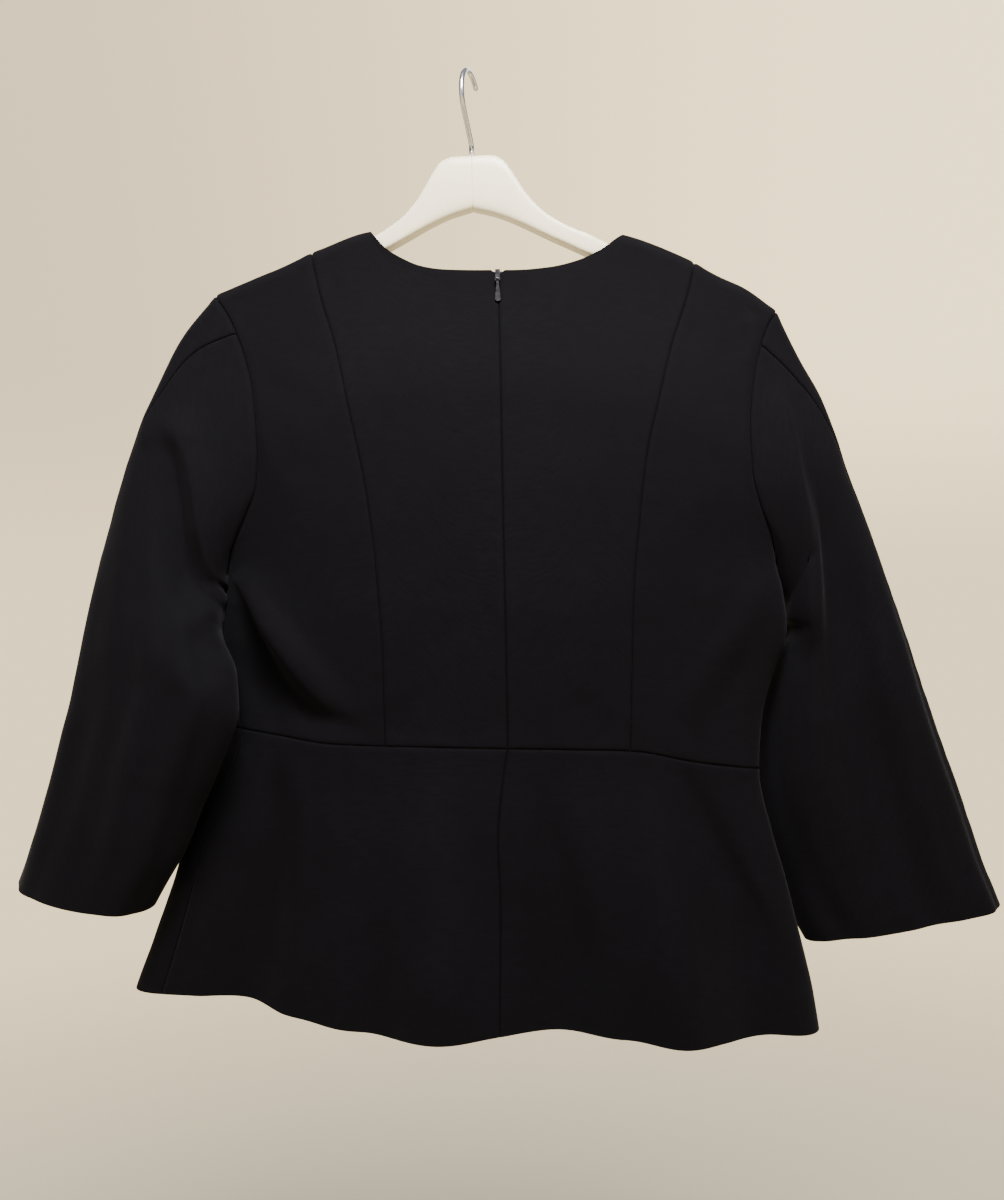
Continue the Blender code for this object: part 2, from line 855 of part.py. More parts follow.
def bodice(finish):
    """The four back panels and the front."""
    outlines = {side: side_boundary(side, "back") for side in ("left", "right")}
    centre_shares = row_shares(outlines["left"], outlines["right"])
    centre_foot = seam_foot(centre_back, waist_height)
    centre_x = float(centre_back(ZIP_HEAD_HEIGHT))
    centre_rows = seam_rows(centre_back, float(neck_line(centre_x)), centre_foot, centre_shares)
    centre_rows[0] = neck_columns("left")[-1]
    feet = {}
    for side in ("left", "right"):
        outline = outlines[side]
        tip = armhole_x[side](armhole_span[side][0])
        shares = row_shares(outline)
        top_x = PRINCESS_TOP[side]
        foot = seam_foot(princess[side], waist_height)
        rows = seam_rows(princess[side], float(ridge(top_x)), foot, shares)
        top = ridge_columns(tip, top_x, SIDE_COLUMNS, "back")
        below = waist_columns(outline[-1, 0], rows[-1, 0], SIDE_COLUMNS)
        rows[0] = top[-1]
        grid = patch(top, below, outline, rows)
        add_panel(f"back_side_{side}", grid, finish, [(0, side, 1)])
        neck_x = NECK_LEFT if side == "left" else NECK_RIGHT
        shoulder = ridge_columns(top_x, neck_x, SHOULDER_COLUMNS, "back")
        top = np.concatenate([shoulder[:-1], neck_columns(side)])
        inner_foot = waist_columns(rows[-1, 0], centre_rows[-1, 0], SHOULDER_COLUMNS + NECK_COLUMNS)
        add_panel(f"back_centre_{side}", patch(top, inner_foot, rows, centre_rows), finish)
        feet[side] = np.concatenate([below[:-1], inner_foot])[:, 0]

    left, right = side_boundary("left", "front"), side_boundary("right", "front")
    tips = {side: armhole_x[side](armhole_span[side][0]) for side in ("left", "right")}
    pieces = [
        ridge_columns(tips["left"], PRINCESS_TOP["left"], SIDE_COLUMNS, "front")[:-1],
        ridge_columns(PRINCESS_TOP["left"], NECK_LEFT, SHOULDER_COLUMNS, "front")[:-1],
        front_neck_columns()[:-1],
        ridge_columns(NECK_RIGHT, PRINCESS_TOP["right"], SHOULDER_COLUMNS, "front")[:-1],
        ridge_columns(PRINCESS_TOP["right"], tips["right"], SIDE_COLUMNS, "front"),
    ]
    top = np.concatenate(pieces)
    below = waist_columns(left[-1, 0], right[-1, 0], len(top) - 1)
    edges = [(0, "left", -1), (-1, "right", -1)]
    add_panel("front_bodice", patch(top, below, left, right), finish, edges)
    return feet, below[:, 0], centre_rows[:, 1]


def hem_angle(side, offset=0.0):
    """The angle where a side seam meets the hem."""
    return float(side_seam_angle(side, HEM_HEIGHT)) + offset


def add_peplum(name, waist_angles, hem_start, hem_end, finish):
    """A flared strip from the waist to the hem, with twice the bodice's columns."""
    seam = on_line(waist_angles, waist_height)
    top = np.insert(seam, np.arange(1, len(seam)), (seam[1:] + seam[:-1]) / 2, axis=0)
    share = (top[:, 0] - top[0, 0]) / (top[-1, 0] - top[0, 0])
    foot = on_line(hem_start + (hem_end - hem_start) * share, hem_height)
    down = np.linspace(0, 1, PEPLUM_ROWS + 1)[:, None, None]
    add_panel(name, (1 - down) * top + down * foot, finish)


def peplum(feet, front_angles, finish):
    centre_hem = seam_foot(centre_back, hem_height)
    centre = float(body_angle(centre_back(centre_hem), centre_hem))
    add_peplum("peplum_back_left", feet["left"], hem_angle("left"), centre, finish)
    add_peplum("peplum_back_right", feet["right"], hem_angle("right"), centre, finish)
    add_peplum("peplum_front", front_angles, hem_angle("left", 2 * np.pi), hem_angle("right"), finish)


def underarm_ease(turn):
    """The share of its first row by which a sleeve stands off below the underarm, where cloth folds."""
    off = np.abs((turn - UNDERARM_TURN + 180) % 360 - 180) / UNDERARM_SPREAD
    return UNDERARM_EASE * np.clip(1 - off, 0, 1)


def add_sleeve_piece(name, side, back_first, finish):
    """One piece of a two-piece sleeve: the under sleeve from its back seam, or the top sleeve."""
    s = np.linspace(0, 1, SLEEVE_ROWS + 1)[:, None] ** ROW_CROWDING
    start = seam_angle(s)
    end = FRONT_SEAM if back_first else FRONT_SEAM - 360
    turn = start + (end - start) * np.linspace(0, 1, SLEEVE_COLUMNS + 1)[None]
    s = np.broadcast_to(s, turn.shape)
    normals = sleeve_normals(side, s, turn)
    normals[0] = mixed_normal(side, turn[0])
    points = sleeve_point(side, s, turn)
    points[0] += underarm_ease(turn[0])[:, None] * (points[1] - points[0])
    add_wall(name, points, normals, CLOTH, finish)


def sleeves(finish):
    for side in ("left", "right"):
        add_sleeve_piece(f"sleeve_under_{side}", side, True, finish)
        add_sleeve_piece(f"sleeve_top_{side}", side, False, finish)


def add_loft(name, rings, finish):
    """A solid through rings of equally many points, with a flat cap at each end."""
    count = len(rings[0])
    faces = []
    for i in range(len(rings) - 1):
        for j in range(count):
            k = (j + 1) % count
            faces.append((i * count + j, i * count + k, (i + 1) * count + k, (i + 1) * count + j))
    faces.append(tuple(range(count)))
    faces.append(tuple((len(rings) - 1) * count + j for j in range(count)))
    return add_solid(name, np.concatenate(rings), faces, finish)


def hanger(finish):
    """Hub and arms: one bar whose top and foot follow their own lines."""
    top, foot = curve(HANGER_TOP, "x", "z"), curve(HANGER_FOOT, "x", "z")
    half = HANGER_STATIONS["x"]
    stations = np.concatenate([-half[:0:-1], half])
    turn = np.linspace(0, 2 * np.pi, HANGER_SIDES, endpoint=False)
    rings = []
    for x in stations:
        high, low = float(top(abs(x))), float(foot(abs(x)))
        into_tip = max(0.0, abs(x) - (HANGER_HALF - HANGER_TIP)) / (HANGER_TIP + 1)
        end = math.sqrt(1 - into_tip**2)
        middle, reach = (high + low) / 2, (high - low) / 2 * end
        deep = HANGER_HALF_THICKNESS * (0.3 + 0.7 * end)
        rings.append(
            np.stack(
                [
                    np.full(len(turn), x),
                    deep * np.sign(np.sin(turn)) * np.abs(np.sin(turn)) ** 0.8,
                    middle + reach * np.sign(np.cos(turn)) * np.abs(np.cos(turn)) ** 0.9,
                ],
                axis=-1,
            )
        )
    add_loft("hanger", rings, finish)


def hook_path():
    """The wire's middle line: up the shaft, out to the front and back over the crook."""
    ring = CROOK_RADIUS + WIRE_RADIUS
    middle_z = -CROOK_RADIUS
    forward = np.array([-math.sin(CROOK_TURN), -math.cos(CROOK_TURN), 0.0])
    up = np.array([0.0, 0.0, 1.0])
    foot = np.array([0.0, 0.0, SHAFT_FOOT])
    neck = np.array([0.0, 0.0, SHAFT_FOOT + SHAFT_STRAIGHT])
    turns = np.linspace(CROOK_START, CROOK_END, CROOK_STEPS)
    crook = [ring * (math.cos(t) * up + math.sin(t) * forward) + middle_z * up for t in turns]
    bend_in = crook[0]
    tangent = -(ring * (-math.sin(turns[0]) * up + math.cos(turns[0]) * forward)) * 0.5
    path = [foot]
    for t in np.linspace(0, 1, SHAFT_STEPS + 1)[:-1]:
        lift = SHAFT_STRAIGHT * up
        hermite = (1 + 2 * t) * (1 - t) ** 2 * neck + t**2 * (3 - 2 * t) * bend_in
        hermite = hermite + t * (1 - t) ** 2 * lift - t**2 * (1 - t) * tangent
        path.append(hermite)
    return np.array(path + crook)


def hook(finish):
    path = hook_path()
    sideways = np.array([math.cos(CROOK_TURN), -math.sin(CROOK_TURN), 0.0])
    turn = np.linspace(0, 2 * np.pi, WIRE_SIDES, endpoint=False)
    rings = []
    for i, point in enumerate(path):
        along = path[min(i + 1, len(path) - 1)] - path[max(i - 1, 0)]
        if i == 0:
            along = np.array([0.0, 0.0, 1.0])
        along = along / np.linalg.norm(along)
        across = np.cross(along, sideways)
        across /= np.linalg.norm(across)
        flat = np.cross(across, along)
        ring = np.cos(turn)[:, None] * flat + np.sin(turn)[:, None] * across
        rings.append(point + WIRE_RADIUS * ring)
    add_loft("hook", rings, finish)


def zip_tapes(rows, finish):
    """A tape behind each edge of the centre-back seam, on that seam's own rows."""
    rows = rows[(rows < TAPE_TOP - 3) & (rows > TAPE_FOOT + 3)]
    rows = np.concatenate([[TAPE_TOP], rows, [TAPE_FOOT]])[:, None]
    for side, sign in (("left", -1), ("right", 1)):
        x = centre_back(rows) + sign * np.linspace(0, TAPE_WIDTH, 3)[None]
        z = np.broadcast_to(rows, x.shape)
        angle = body_angle(x, z)
        normals = body_normals(angle, z)
        outside = body_point(angle, z) - normals * (CLOTH + TAPE_GAP)
        add_wall(f"zip_tape_{side}", outside, normals, TAPE_THICKNESS, finish)


def block(low, high):
    """Points and faces of a box between two corners."""
    points = [(x, y, z) for x in (low[0], high[0]) for y in (low[1], high[1]) for z in (low[2], high[2])]
    faces = [(0, 1, 3, 2), (4, 6, 7, 5), (0, 4, 5, 1), (2, 3, 7, 6), (0, 2, 6, 4), (1, 5, 7, 3)]
    return np.array(points, float), faces


def rod(middle, half, radius, sides=16):
    """Points and faces of a cylinder along X."""
    turn = np.linspace(0, 2 * np.pi, sides, endpoint=False)
    rim = np.stack([np.zeros(sides), radius * np.cos(turn), radius * np.sin(turn)], axis=-1)
    ends = [rim + middle + np.array([sign * half, 0, 0]) for sign in (-1, 1)]
    faces = [(j, (j + 1) % sides, sides + (j + 1) % sides, sides + j) for j in range(sides)]
    faces += [tuple(range(sides)), tuple(range(sides, 2 * sides))]
    return np.concatenate(ends), faces


def combine(base, others, finish):
    """Joins or cuts helper shapes into an object with Booleans that stay live."""
    for number, (shape, operation) in enumerate(others):
        helper = add_solid(f"{base.name}_{operation.lower()}_{number}", *shape, finish)
        helper.hide_render = True
        helper.display_type = "WIRE"
        step = base.modifiers.new(f"{operation.title()} {number}", "BOOLEAN")
        step.operation = operation
        step.object = helper


def zip_head(finish):
    """The slider, which straddles the notch, and the pull tab on its pin."""
    notch_x = float(centre_back(ZIP_HEAD_HEIGHT))
    notch_z = float(neck_line(notch_x))
    face_y = float(body_point(body_angle(notch_x, notch_z), notch_z)[1])
    low_z = notch_z - PLATE_DROP
    outer_y = float(body_point(body_angle(notch_x, low_z), low_z)[1]) - PLATE_STAND_OFF
    inner_y = face_y + CLOTH + TAPE_GAP + TAPE_THICKNESS + SEAM_GAP
    saddle_z = notch_z + SADDLE_LIFT
    top_z = saddle_z + SADDLE_HEIGHT

    def slab(half_width, near_y, far_y, foot_z, head_z):
        return block((notch_x - half_width, near_y, foot_z), (notch_x + half_width, far_y, head_z))

    plate = slab(PLATE_HALF_WIDTH, outer_y - PLATE_DEPTH, outer_y, low_z, top_z)
    slider = add_solid("zip_slider", *plate, finish)
    lap = PLATE_DEPTH / 2
    saddle = slab(SADDLE_HALF_WIDTH, outer_y - lap, inner_y + CARRIER_DEPTH / 2, saddle_z, top_z)
    carrier = slab(CARRIER_HALF_WIDTH, inner_y, inner_y + CARRIER_DEPTH, low_z - 1, top_z)
    pin_y = outer_y - PLATE_DEPTH - KNUCKLE_RADIUS - PIN_STAND_OFF
    pin = np.array([notch_x, pin_y, low_z + PIN_HEIGHT])
    shapes = [(saddle, "UNION"), (carrier, "UNION")]
    for sign in (-1, 1):
        inner = KNUCKLE_HALF + CHEEK_GAP
        near, far = sorted((sign * inner, sign * (inner + CHEEK_WIDTH)))
        low = (notch_x + near, pin_y - CHEEK_REACH, pin[2] - CHEEK_HALF_HEIGHT)
        high = (notch_x + far, outer_y - lap, pin[2] + CHEEK_HALF_HEIGHT)
        shapes.append((block(low, high), "UNION"))
    shapes.append((rod(pin, KNUCKLE_HALF + CHEEK_WIDTH, PIN_RADIUS), "UNION"))
    combine(slider, shapes, finish)

    radius = TAB_WIDTH / 2
    middle = -TAB_LENGTH + radius
    outline = [(KNUCKLE_HALF, -TAB_SHOULDER), (KNUCKLE_HALF, -TAB_NECK)]
    outline += [(radius * math.cos(t), middle + radius * math.sin(t)) for t in np.linspace(0, -np.pi, 9)]
    outline += [(-KNUCKLE_HALF, -TAB_NECK), (-KNUCKLE_HALF, -TAB_SHOULDER)]
    outline = np.array(outline)
    count = len(outline)
    layers = []
    for sign in (-1, 1):
        y = np.full(count, sign * TAB_THICKNESS / 2)
        layers.append(np.stack([outline[:, 0], y, outline[:, 1]], axis=-1) + pin)
    faces = [(j, (j + 1) % count, count + (j + 1) % count, count + j) for j in range(count)]
    faces += [tuple(range(count)), tuple(range(count, 2 * count))]
    tab = add_solid("pull_tab", np.concatenate(layers), faces, finish, origin=pin)
    knuckle = rod(pin, KNUCKLE_HALF, KNUCKLE_RADIUS)
    eye = rod(pin, 3 * KNUCKLE_HALF, EYE_RADIUS)
    combine(tab, [(knuckle, "UNION"), (eye, "DIFFERENCE")], finish)


def main():
    for old in list(bpy.data.objects):
        bpy.data.objects.remove(old, do_unlink=True)
    cloth = material("cloth", (0.011, 0.010, 0.012), 0.85)
    tape = material("zip tape", (0.012, 0.011, 0.013), 0.8)
    wood = material("painted wood", (0.74, 0.69, 0.60), 0.4)
    steel = material("steel wire", (0.55, 0.55, 0.56), 0.28, 1.0)
    dark_metal = material("dark metal", (0.09, 0.09, 0.10), 0.35, 1.0)
    feet, front_angles, centre_heights = bodice(cloth)
    peplum(feet, front_angles, cloth)
    sleeves(cloth)
    hanger(wood)
    hook(steel)
    zip_tapes(centre_heights, tape)
    zip_head(dark_metal)


main()
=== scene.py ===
"""The looks of a flared-sleeve blouse on its hanger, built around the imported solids.

Lengths are in millimetres and become metres where a mesh is made. X is to the right as seen from
behind the garment, Y is away from that viewer and Z is up; the origin is the inside top of the
hanger's hook. The body is one flattened tube given by a short table of sections, each panel is a
region of it between named seams, and each sleeve is a tube from its armhole to its cuff. Creases
are placed one by one in short tables, in the same places as the folds that they sharpen.
"""

import math

import bmesh
import bpy
import numpy as np
from mathutils import Matrix, Vector

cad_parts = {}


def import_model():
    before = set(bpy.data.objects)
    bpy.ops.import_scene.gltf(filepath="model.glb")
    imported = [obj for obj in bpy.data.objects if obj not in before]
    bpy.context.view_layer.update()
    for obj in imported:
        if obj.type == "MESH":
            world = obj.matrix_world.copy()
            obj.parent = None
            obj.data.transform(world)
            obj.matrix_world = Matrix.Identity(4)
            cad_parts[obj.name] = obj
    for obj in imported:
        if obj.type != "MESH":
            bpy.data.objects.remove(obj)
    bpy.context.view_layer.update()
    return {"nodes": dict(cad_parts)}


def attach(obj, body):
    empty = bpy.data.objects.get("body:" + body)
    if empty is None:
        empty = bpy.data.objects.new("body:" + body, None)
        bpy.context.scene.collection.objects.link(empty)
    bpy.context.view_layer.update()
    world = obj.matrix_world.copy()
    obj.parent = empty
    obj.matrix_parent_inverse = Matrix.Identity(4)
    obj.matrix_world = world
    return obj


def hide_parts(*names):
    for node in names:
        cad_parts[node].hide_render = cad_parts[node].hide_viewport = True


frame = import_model()

MM = 0.001
GARMENT = "garment_on_hanger"
SIDES = ("left", "right")
# Which way along X points into the body from each side of it
INWARDS = {"left": 1, "right": -1}

# Cloth: its thickness, the extra thickness of a turned edge, and how wide the turning is
CLOTH = 1.3
TURNED = 0.6
HEM_TURNING = 28.0
NECK_TURNING = 9.0

# Edges: how deep and wide a sewn edge rolls in, how far the painted shade along it reaches, how far a
# folded edge rounds over, and the low ridge that the seam allowance raises beside a seam
SEAM_DEPTH = 1.05
SEAM_WIDTH = 1.7
SEAM_SHADE_WIDTH = 0.65
FOLD_ROUND = 0.9
ALLOWANCE_LIFT = 0.22
ALLOWANCE_MIDDLE = 4.5
ALLOWANCE_WIDTH = 3.2
PUCKER_HEIGHT = 0.28
PUCKER_LENGTH = 9.0
PUCKER_REACH = 9.0
EDGE_STEPS = (0.08, 0.22, 0.42, 0.7, 1.1, 1.8, 2.9)
EDGE_FREE = 1.4
SEAM_BLEND = 2.5

# Mesh density: rows and columns of the solids, and steps between them
ARMHOLE_ROWS = 12
SIDE_ROWS = 6
ROW_STEPS = 8
SIDE_COLUMNS = 5
SHOULDER_COLUMNS = 2
NECK_COLUMNS = 6
FRONT_NECK_COLUMNS = 8
COLUMN_STEPS = 8
PEPLUM_ROWS = 8
PEPLUM_STEPS = 9
SLEEVE_ROWS = 14
SLEEVE_COLUMNS = 12
SLEEVE_STEPS = 13
ROUND_STEPS = 7
PEPLUM_STEP = 3.0
DRAPE_STEPS = 4
# A sharp fold is taken as nothing at this many times its widest reach
DRAPE_REACH = 2.6

# The real length of one row or column of the solids, for the close steps beside an edge
ROW_LENGTH = 21.0
SIDE_COLUMN_WIDTH = 22.0
CENTRE_COLUMN_WIDTH = 13.0
FRONT_COLUMN_WIDTH = 19.0
PEPLUM_LENGTH = 205.0
PEPLUM_BACK_WIDTH = 240.0
PEPLUM_FRONT_WIDTH = 480.0
SLEEVE_ROW_LENGTH = 31.0
SLEEVE_COLUMN_WIDTH = 13.0
CALM_WIDTH = 9.0
SLEEVE_CALM_WIDTH = 5.0

# How quickly a sleeve's creases give way from its back to its front, and how far off the
# unevenness of a front is taken, so that it differs from the back's
FACING_STEP = 2.2
FRONT_SHIFT = 900
SLEEVE_SHIFT = 450

# Shape rules of the body tube
RIDGE_RADIUS = 10.0
SIDE_ROUNDNESS = 0.8
SIDE_FADE = 150.0
BODY_FADE = 140.0
FRONT_ARMHOLE_INSET = 8.0
ZIP_HEAD_HEIGHT = -150.0
WAIST_HEIGHT = -515.0
HEM_HEIGHT = -715.0
NOTCH_HALF_WIDTH = 5.5
NOTCH_DEPTH = 4.0
NECK_CROWDING = 2.5
FRONT_NECK_DROP = 82.0
FRONT_NECK_POWER = 0.9
BODY_CLEARANCE = 3.5
CLEARANCE_RAMP = 8.0
FREE_OF_ARMHOLE = 0.04
PIVOT_INSET = 45.0

# Sleeve seams, in degrees round the sleeve: 0 is its outer line, 90 its back, 180 its inner line
FRONT_SEAM = 225.0
ARMHOLE_BLEND = 0.22
ROW_CROWDING = 1.25

# Hanger and hook. Inside the shoulders, from HANGER_BARE on, the arms get slimmer and rounder.
HANGER_HALF = 205.0
HANGER_HALF_THICKNESS = 7.2
HANGER_TIP = 8.0
HANGER_SIDES = 64
HANGER_SQUARE = 0.42
HANGER_ROUND = 0.95
HANGER_BARE = 88.0
HANGER_BLEND = 22.0
HANGER_SLIMMER = 0.32
TIP_THICKNESS = 0.3
TIP_STATIONS = 14
ARM_STATIONS = 99
JOINT_STATIONS = (0.0, 0.25, 0.5, 0.8, 1.3)
JOINT_DEPTH = 0.035
JOINT_HALF = 0.5
WIRE_RADIUS = 2.0
CROOK_RADIUS = 19.5
CROOK_TURN = math.radians(13.0)
CROOK_END = math.radians(-42.0)
SHAFT_FOOT = -62.6
SHAFT_STRAIGHT = 8.0
CROOK_START = math.radians(128.0)
CROOK_STEPS = 64
SHAFT_STEPS = 24
WIRE_SIDES = 24
WIRE_END_RINGS = 7

# Zip: how far behind the cloth's outside its tapes lie, the tapes, and the coil's turns
ZIP_DEPTH = 2.1
TAPE_THICKNESS = 1.0
TAPE_TOP = -158.6
TAPE_FOOT = -488.0
TAPE_ROWS = 110
TAPE_COLUMNS = (0.15, 0.5, 1.2, 2.5, 4, 5.5, 7, 8.5, 10, 11, 11.6, 11.85)
COIL_TOP = -160.5
COIL_PITCH = 1.5
COIL_RADIUS = 0.45
COIL_HALF = 2.1
COIL_LEAN = 0.5
COIL_ARCH = 0.5
COIL_SIDES = 8
COIL_TALL = 1.2
# The shares of a turn's half length and of its radius that each of its rings has
COIL_SHAPE = ((-1, 0.35), (-0.94, 0.85), (-0.6, 1), (0, 1), (0.6, 1), (0.94, 0.85), (1, 0.35))

# How far, in metres, the edges of the zip's metal are rounded, in how many steps and from what angle
METAL_EDGES = {"zip_slider": 0.00028, "pull_tab": 0.00035}
METAL_SEGMENTS = 3
METAL_ANGLE = math.radians(28)

# Colours, all linear
CLOTH_COLOUR = (0.0032, 0.0030, 0.0042)
CLOTH_DARK = (0.0026, 0.0024, 0.0034)
CLOTH_LIGHT = (0.0040, 0.0037, 0.0052)
# Painted shade laid into the groove of each sewn seam
CLOTH_SEAM_SHADE = (0.0012, 0.0012, 0.0015)
CLOTH_SHEEN = 0.02
PAINT_COLOUR = (0.86, 0.79, 0.59)
PAINT_CLEAN = (0.87, 0.80, 0.60)
PAINT_SHADED = (0.80, 0.72, 0.53)
# The backdrop the camera sees: a painted fall of light, darker on the left and lighter on the right above the
# horizon, with one tone low down
BACKGROUND_LEFT = (1.36, 1.11, 0.69)
BACKGROUND_RIGHT = (2.55, 2.05, 1.17)
BACKGROUND_LOW = (1.70, 1.38, 0.83)
BACKGROUND_ACROSS = (-0.5, 0.35)
BACKGROUND_UP = (0.0, 0.22)
AMBIENT_COLOUR = (0.97, 0.97, 1.0)
AMBIENT_STRENGTH = 0.30
FLOOR_COLOUR = (0.86, 0.78, 0.62)
FLOOR_HEIGHT = -1.45
FLOOR_RINGS = (0.5, 1, 2, 4, 8, 16, 40)
FLOOR_SIDES = 48
FLOOR_FADE = (0.4, 3.0)

# Lights: name, place, what it points at, size, power and colour
LIGHTS = (
    ("key", (0.14, -0.66, 0.58), (0.02, 0.0, -0.34), (0.5, 0.4), 46.0, (1.0, 0.97, 0.94)),
    ("fill", (-1.2, -1.6, 0.5), (0.0, 0.0, -0.4), (1.2, 1.2), 6.5, (0.95, 0.97, 1.0)),
    ("behind", (0.2, 1.6, 0.9), (0.0, 0.0, -0.3), (1.4, 1.0), 15.0, (1.0, 0.97, 0.93)),
)

# Camera
CAMERA_PLACE = Vector((0.0678, -0.7983, -0.4040))
CAMERA_YAW = math.radians(3.7)
CAMERA_ROLL = math.radians(1.2)
CAMERA_LENS = 31.2
CAMERA_SENSOR = 36.0
CAMERA_RANGE = (0.01, 200.0)


def table(columns, rows):
    """A table as one array for each named column."""
    return dict(zip(columns.split(), np.array(rows, float).T))


def rows_of(data):
    """A table's rows, each as one value for each named column."""
    return [dict(zip(data, row)) for row in zip(*data.values())]


SECTIONS = table(
    "z left right back front",
    [
        (-110, -236, 268, 20, 18), (-190, -234, 266, 25, 26), (-260, -222, 250, 30, 34),
        (-330, -207, 235, 33, 38), (-374, -197.5, 223, 33, 37), (-405, -202, 229, 33, 35),
        (-430, -207, 231, 32, 33), (-470, -200, 218, 30, 30), (-500, -200, 211, 29, 29),
        (-535, -210, 208, 30, 30), (-580, -233, 216, 34, 33), (-622, -247, 227, 38, 35),
        (-668, -264, 237, 42, 37), (-701, -277, 244, 45, 39), (-735, -287, 249, 47, 40),
    ],
)

RIDGE = table(
    "x z",
    [
        (-250, -186), (-202, -162), (-171, -150), (-154, -144), (-118, -129), (-80, -117), (-40, -114),
        (18, -114), (75, -119), (115, -128), (154, -144), (188, -164), (204, -172), (228, -191),
        (275, -232),
    ],
)

LEFT_ARMHOLE = table(
    "z x",
    [
        (-162, -202), (-183, -189), (-196, -183.5), (-217, -176), (-242, -170), (-292, -166),
        (-314, -168), (-333, -176), (-348, -184), (-361, -191.5), (-382, -197.8),
    ],
)

RIGHT_ARMHOLE = table(
    "z x",
    [
        (-191, 228), (-203.5, 220), (-226, 212), (-244, 208), (-281, 204), (-314, 205), (-336, 210),
        (-354, 217.5), (-374, 222.9),
    ],
)

BACK_NECK = table(
    "x z",
    [
        (-80, -117), (-68, -132), (-55, -141), (-40, -148), (-24, -151.3), (6, -153.3), (36, -154.3),
        (58, -153), (78, -149), (97, -141), (115, -128),
    ],
)

CENTRE_BACK = table(
    "z x",
    [
        (-150, 19), (-260, 20.5), (-400, 20.5), (-515, 20), (-620, 15), (-730, 11),
    ],
)

PRINCESS_LEFT = table(
    "z x",
    [
        (-130, -126), (-168, -117.7), (-210, -105), (-262, -93.5), (-324, -81.5), (-386, -75),
        (-449, -72), (-520, -72),
    ],
)

PRINCESS_RIGHT = table(
    "z x",
    [
        (-150, 168), (-180, 160.5), (-216, 148), (-254, 138), (-300, 127), (-345, 121), (-406, 115),
        (-467, 112.5), (-520, 110.5),
    ],
)

WAIST = table(
    "x z",
    [
        (-215, -494), (-195, -497), (-152, -504), (-112, -510), (-30, -513), (66, -516), (112, -518),
        (157, -527), (203, -534), (225, -537),
    ],
)

HEM = table(
    "x z",
    [
        (-300, -702), (-276, -701), (-210, -698), (-180, -701), (-150, -708), (-80, -719), (-31, -721),
        (10, -720), (110, -725), (146, -727), (200, -729), (248, -731), (270, -731),
    ],
)
# How far the side seams turn from the edge of the flattened tube, in degrees towards the back
SIDE_TURN = table(
    "z left right",
    [
        (-380, 0, 0), (-430, 10, -3), (-470, 19, -4), (-515, 22, -6), (-640, 25, -8), (-735, 27, -9),
    ],
)

# Folds run from (x0, z0) to (x1, z1); push is outwards. A fold that fades dies away at both
# ends, the others grow from their first end to the hem.
FOLDS = "x0 z0 x1 z1 wide0 wide1 push fades"
BACK_FOLDS = table(
    FOLDS,
    [
        (-193, -384, -98, -502, 18, 26, 8, 1), (-190, -430, -150, -512, 14, 22, -6, 1),
        (218, -385, 150, -500, 16, 24, 4, 1), (-150, -506, -184, -714, 16, 40, -14, 0),
        (-92, -512, -108, -720, 18, 30, 4, 0), (-30, -514, -31, -722, 24, 62, 18, 0),
        (50, -517, 56, -722, 16, 44, -13, 0), (116, -520, 146, -724, 20, 44, 18, 0),
        (160, -528, 208, -727, 14, 34, -14, 0),
    ],
)
FRONT_FOLDS = table(
    FOLDS,
    [
        (-188, -388, -92, -490, 18, 26, 6, 1), (214, -392, 118, -505, 18, 26, 7, 1),
        (-150, -506, -205, -712, 16, 38, 14, 0), (-100, -511, -142, -716, 16, 34, -11, 0),
        (-48, -513, -72, -718, 22, 46, 15, 0), (12, -516, 4, -720, 18, 44, -13, 0),
        (70, -518, 84, -722, 22, 48, 17, 0), (118, -522, 150, -724, 14, 34, -12, 0),
        (160, -528, 202, -727, 16, 34, 12, 0),
    ],
)

SLEEVE = "outer_x outer_z outer_y inner_x inner_z inner_y back front"
LEFT_SLEEVE = table(
    SLEEVE,
    [
        (-202, -162, 0, -197.8, -382, 0, 15, 15), (-229, -194, -2, -203, -390, -1, 19, 17),
        (-246, -226, -4, -205, -398, -4, 23, 18), (-261, -261, -6, -205, -407, -11, 28, 20),
        (-277, -307, -8, -200, -420, -22, 32, 22), (-288, -347, -9, -190, -436, -33, 35, 25),
        (-297, -380, -10, -180, -454, -41, 38, 28), (-305, -416, -12, -177, -480, -46, 41, 31),
        (-316, -467, -14, -193, -524, -47, 43, 34), (-327, -513, -15, -206, -552, -46, 44, 38),
        (-341, -560, -15, -222, -587, -45, 45, 42), (-351, -590, -15, -236, -610, -45, 46, 45),
        (-359, -610, -15, -246, -627, -45, 46, 46),
    ],
)
RIGHT_SLEEVE = table(
    SLEEVE,
    [
        (228, -191, 0, 222.9, -374, 0, 15, 15), (245, -227, 2, 229, -385, 5, 20, 20),
        (261, -257, 4, 233, -400, 11, 23, 23), (271, -284, 6, 236, -416, 17, 26, 26),
        (280, -313, 8, 232, -434, 22, 28, 28), (292, -346, 9, 226, -454, 26, 30, 30),
        (301, -371, 10, 220, -474, 29, 31, 31), (310, -399, 10, 215, -496, 31, 31, 31),
        (320, -430, 11, 212, -522, 32, 31, 31), (332, -468, 12, 212, -554, 32, 30, 30),
        (345, -509, 13, 216, -588, 32, 29, 29), (360, -555, 14, 225, -623, 32, 28, 28),
        (376, -607, 15, 236, -653, 30, 27, 27), (389, -643, 15, 246, -673, 27, 26, 26),
    ],
)
# Where the sleeve's back seam lies round it, from the armhole to the cuff
SEAM_DRIFT = table(
    "s angle",
    [
        (0, 45), (0.07, 33), (0.17, 25), (0.3, 14), (0.45, 6), (0.65, 0), (1, -6),
    ],
)

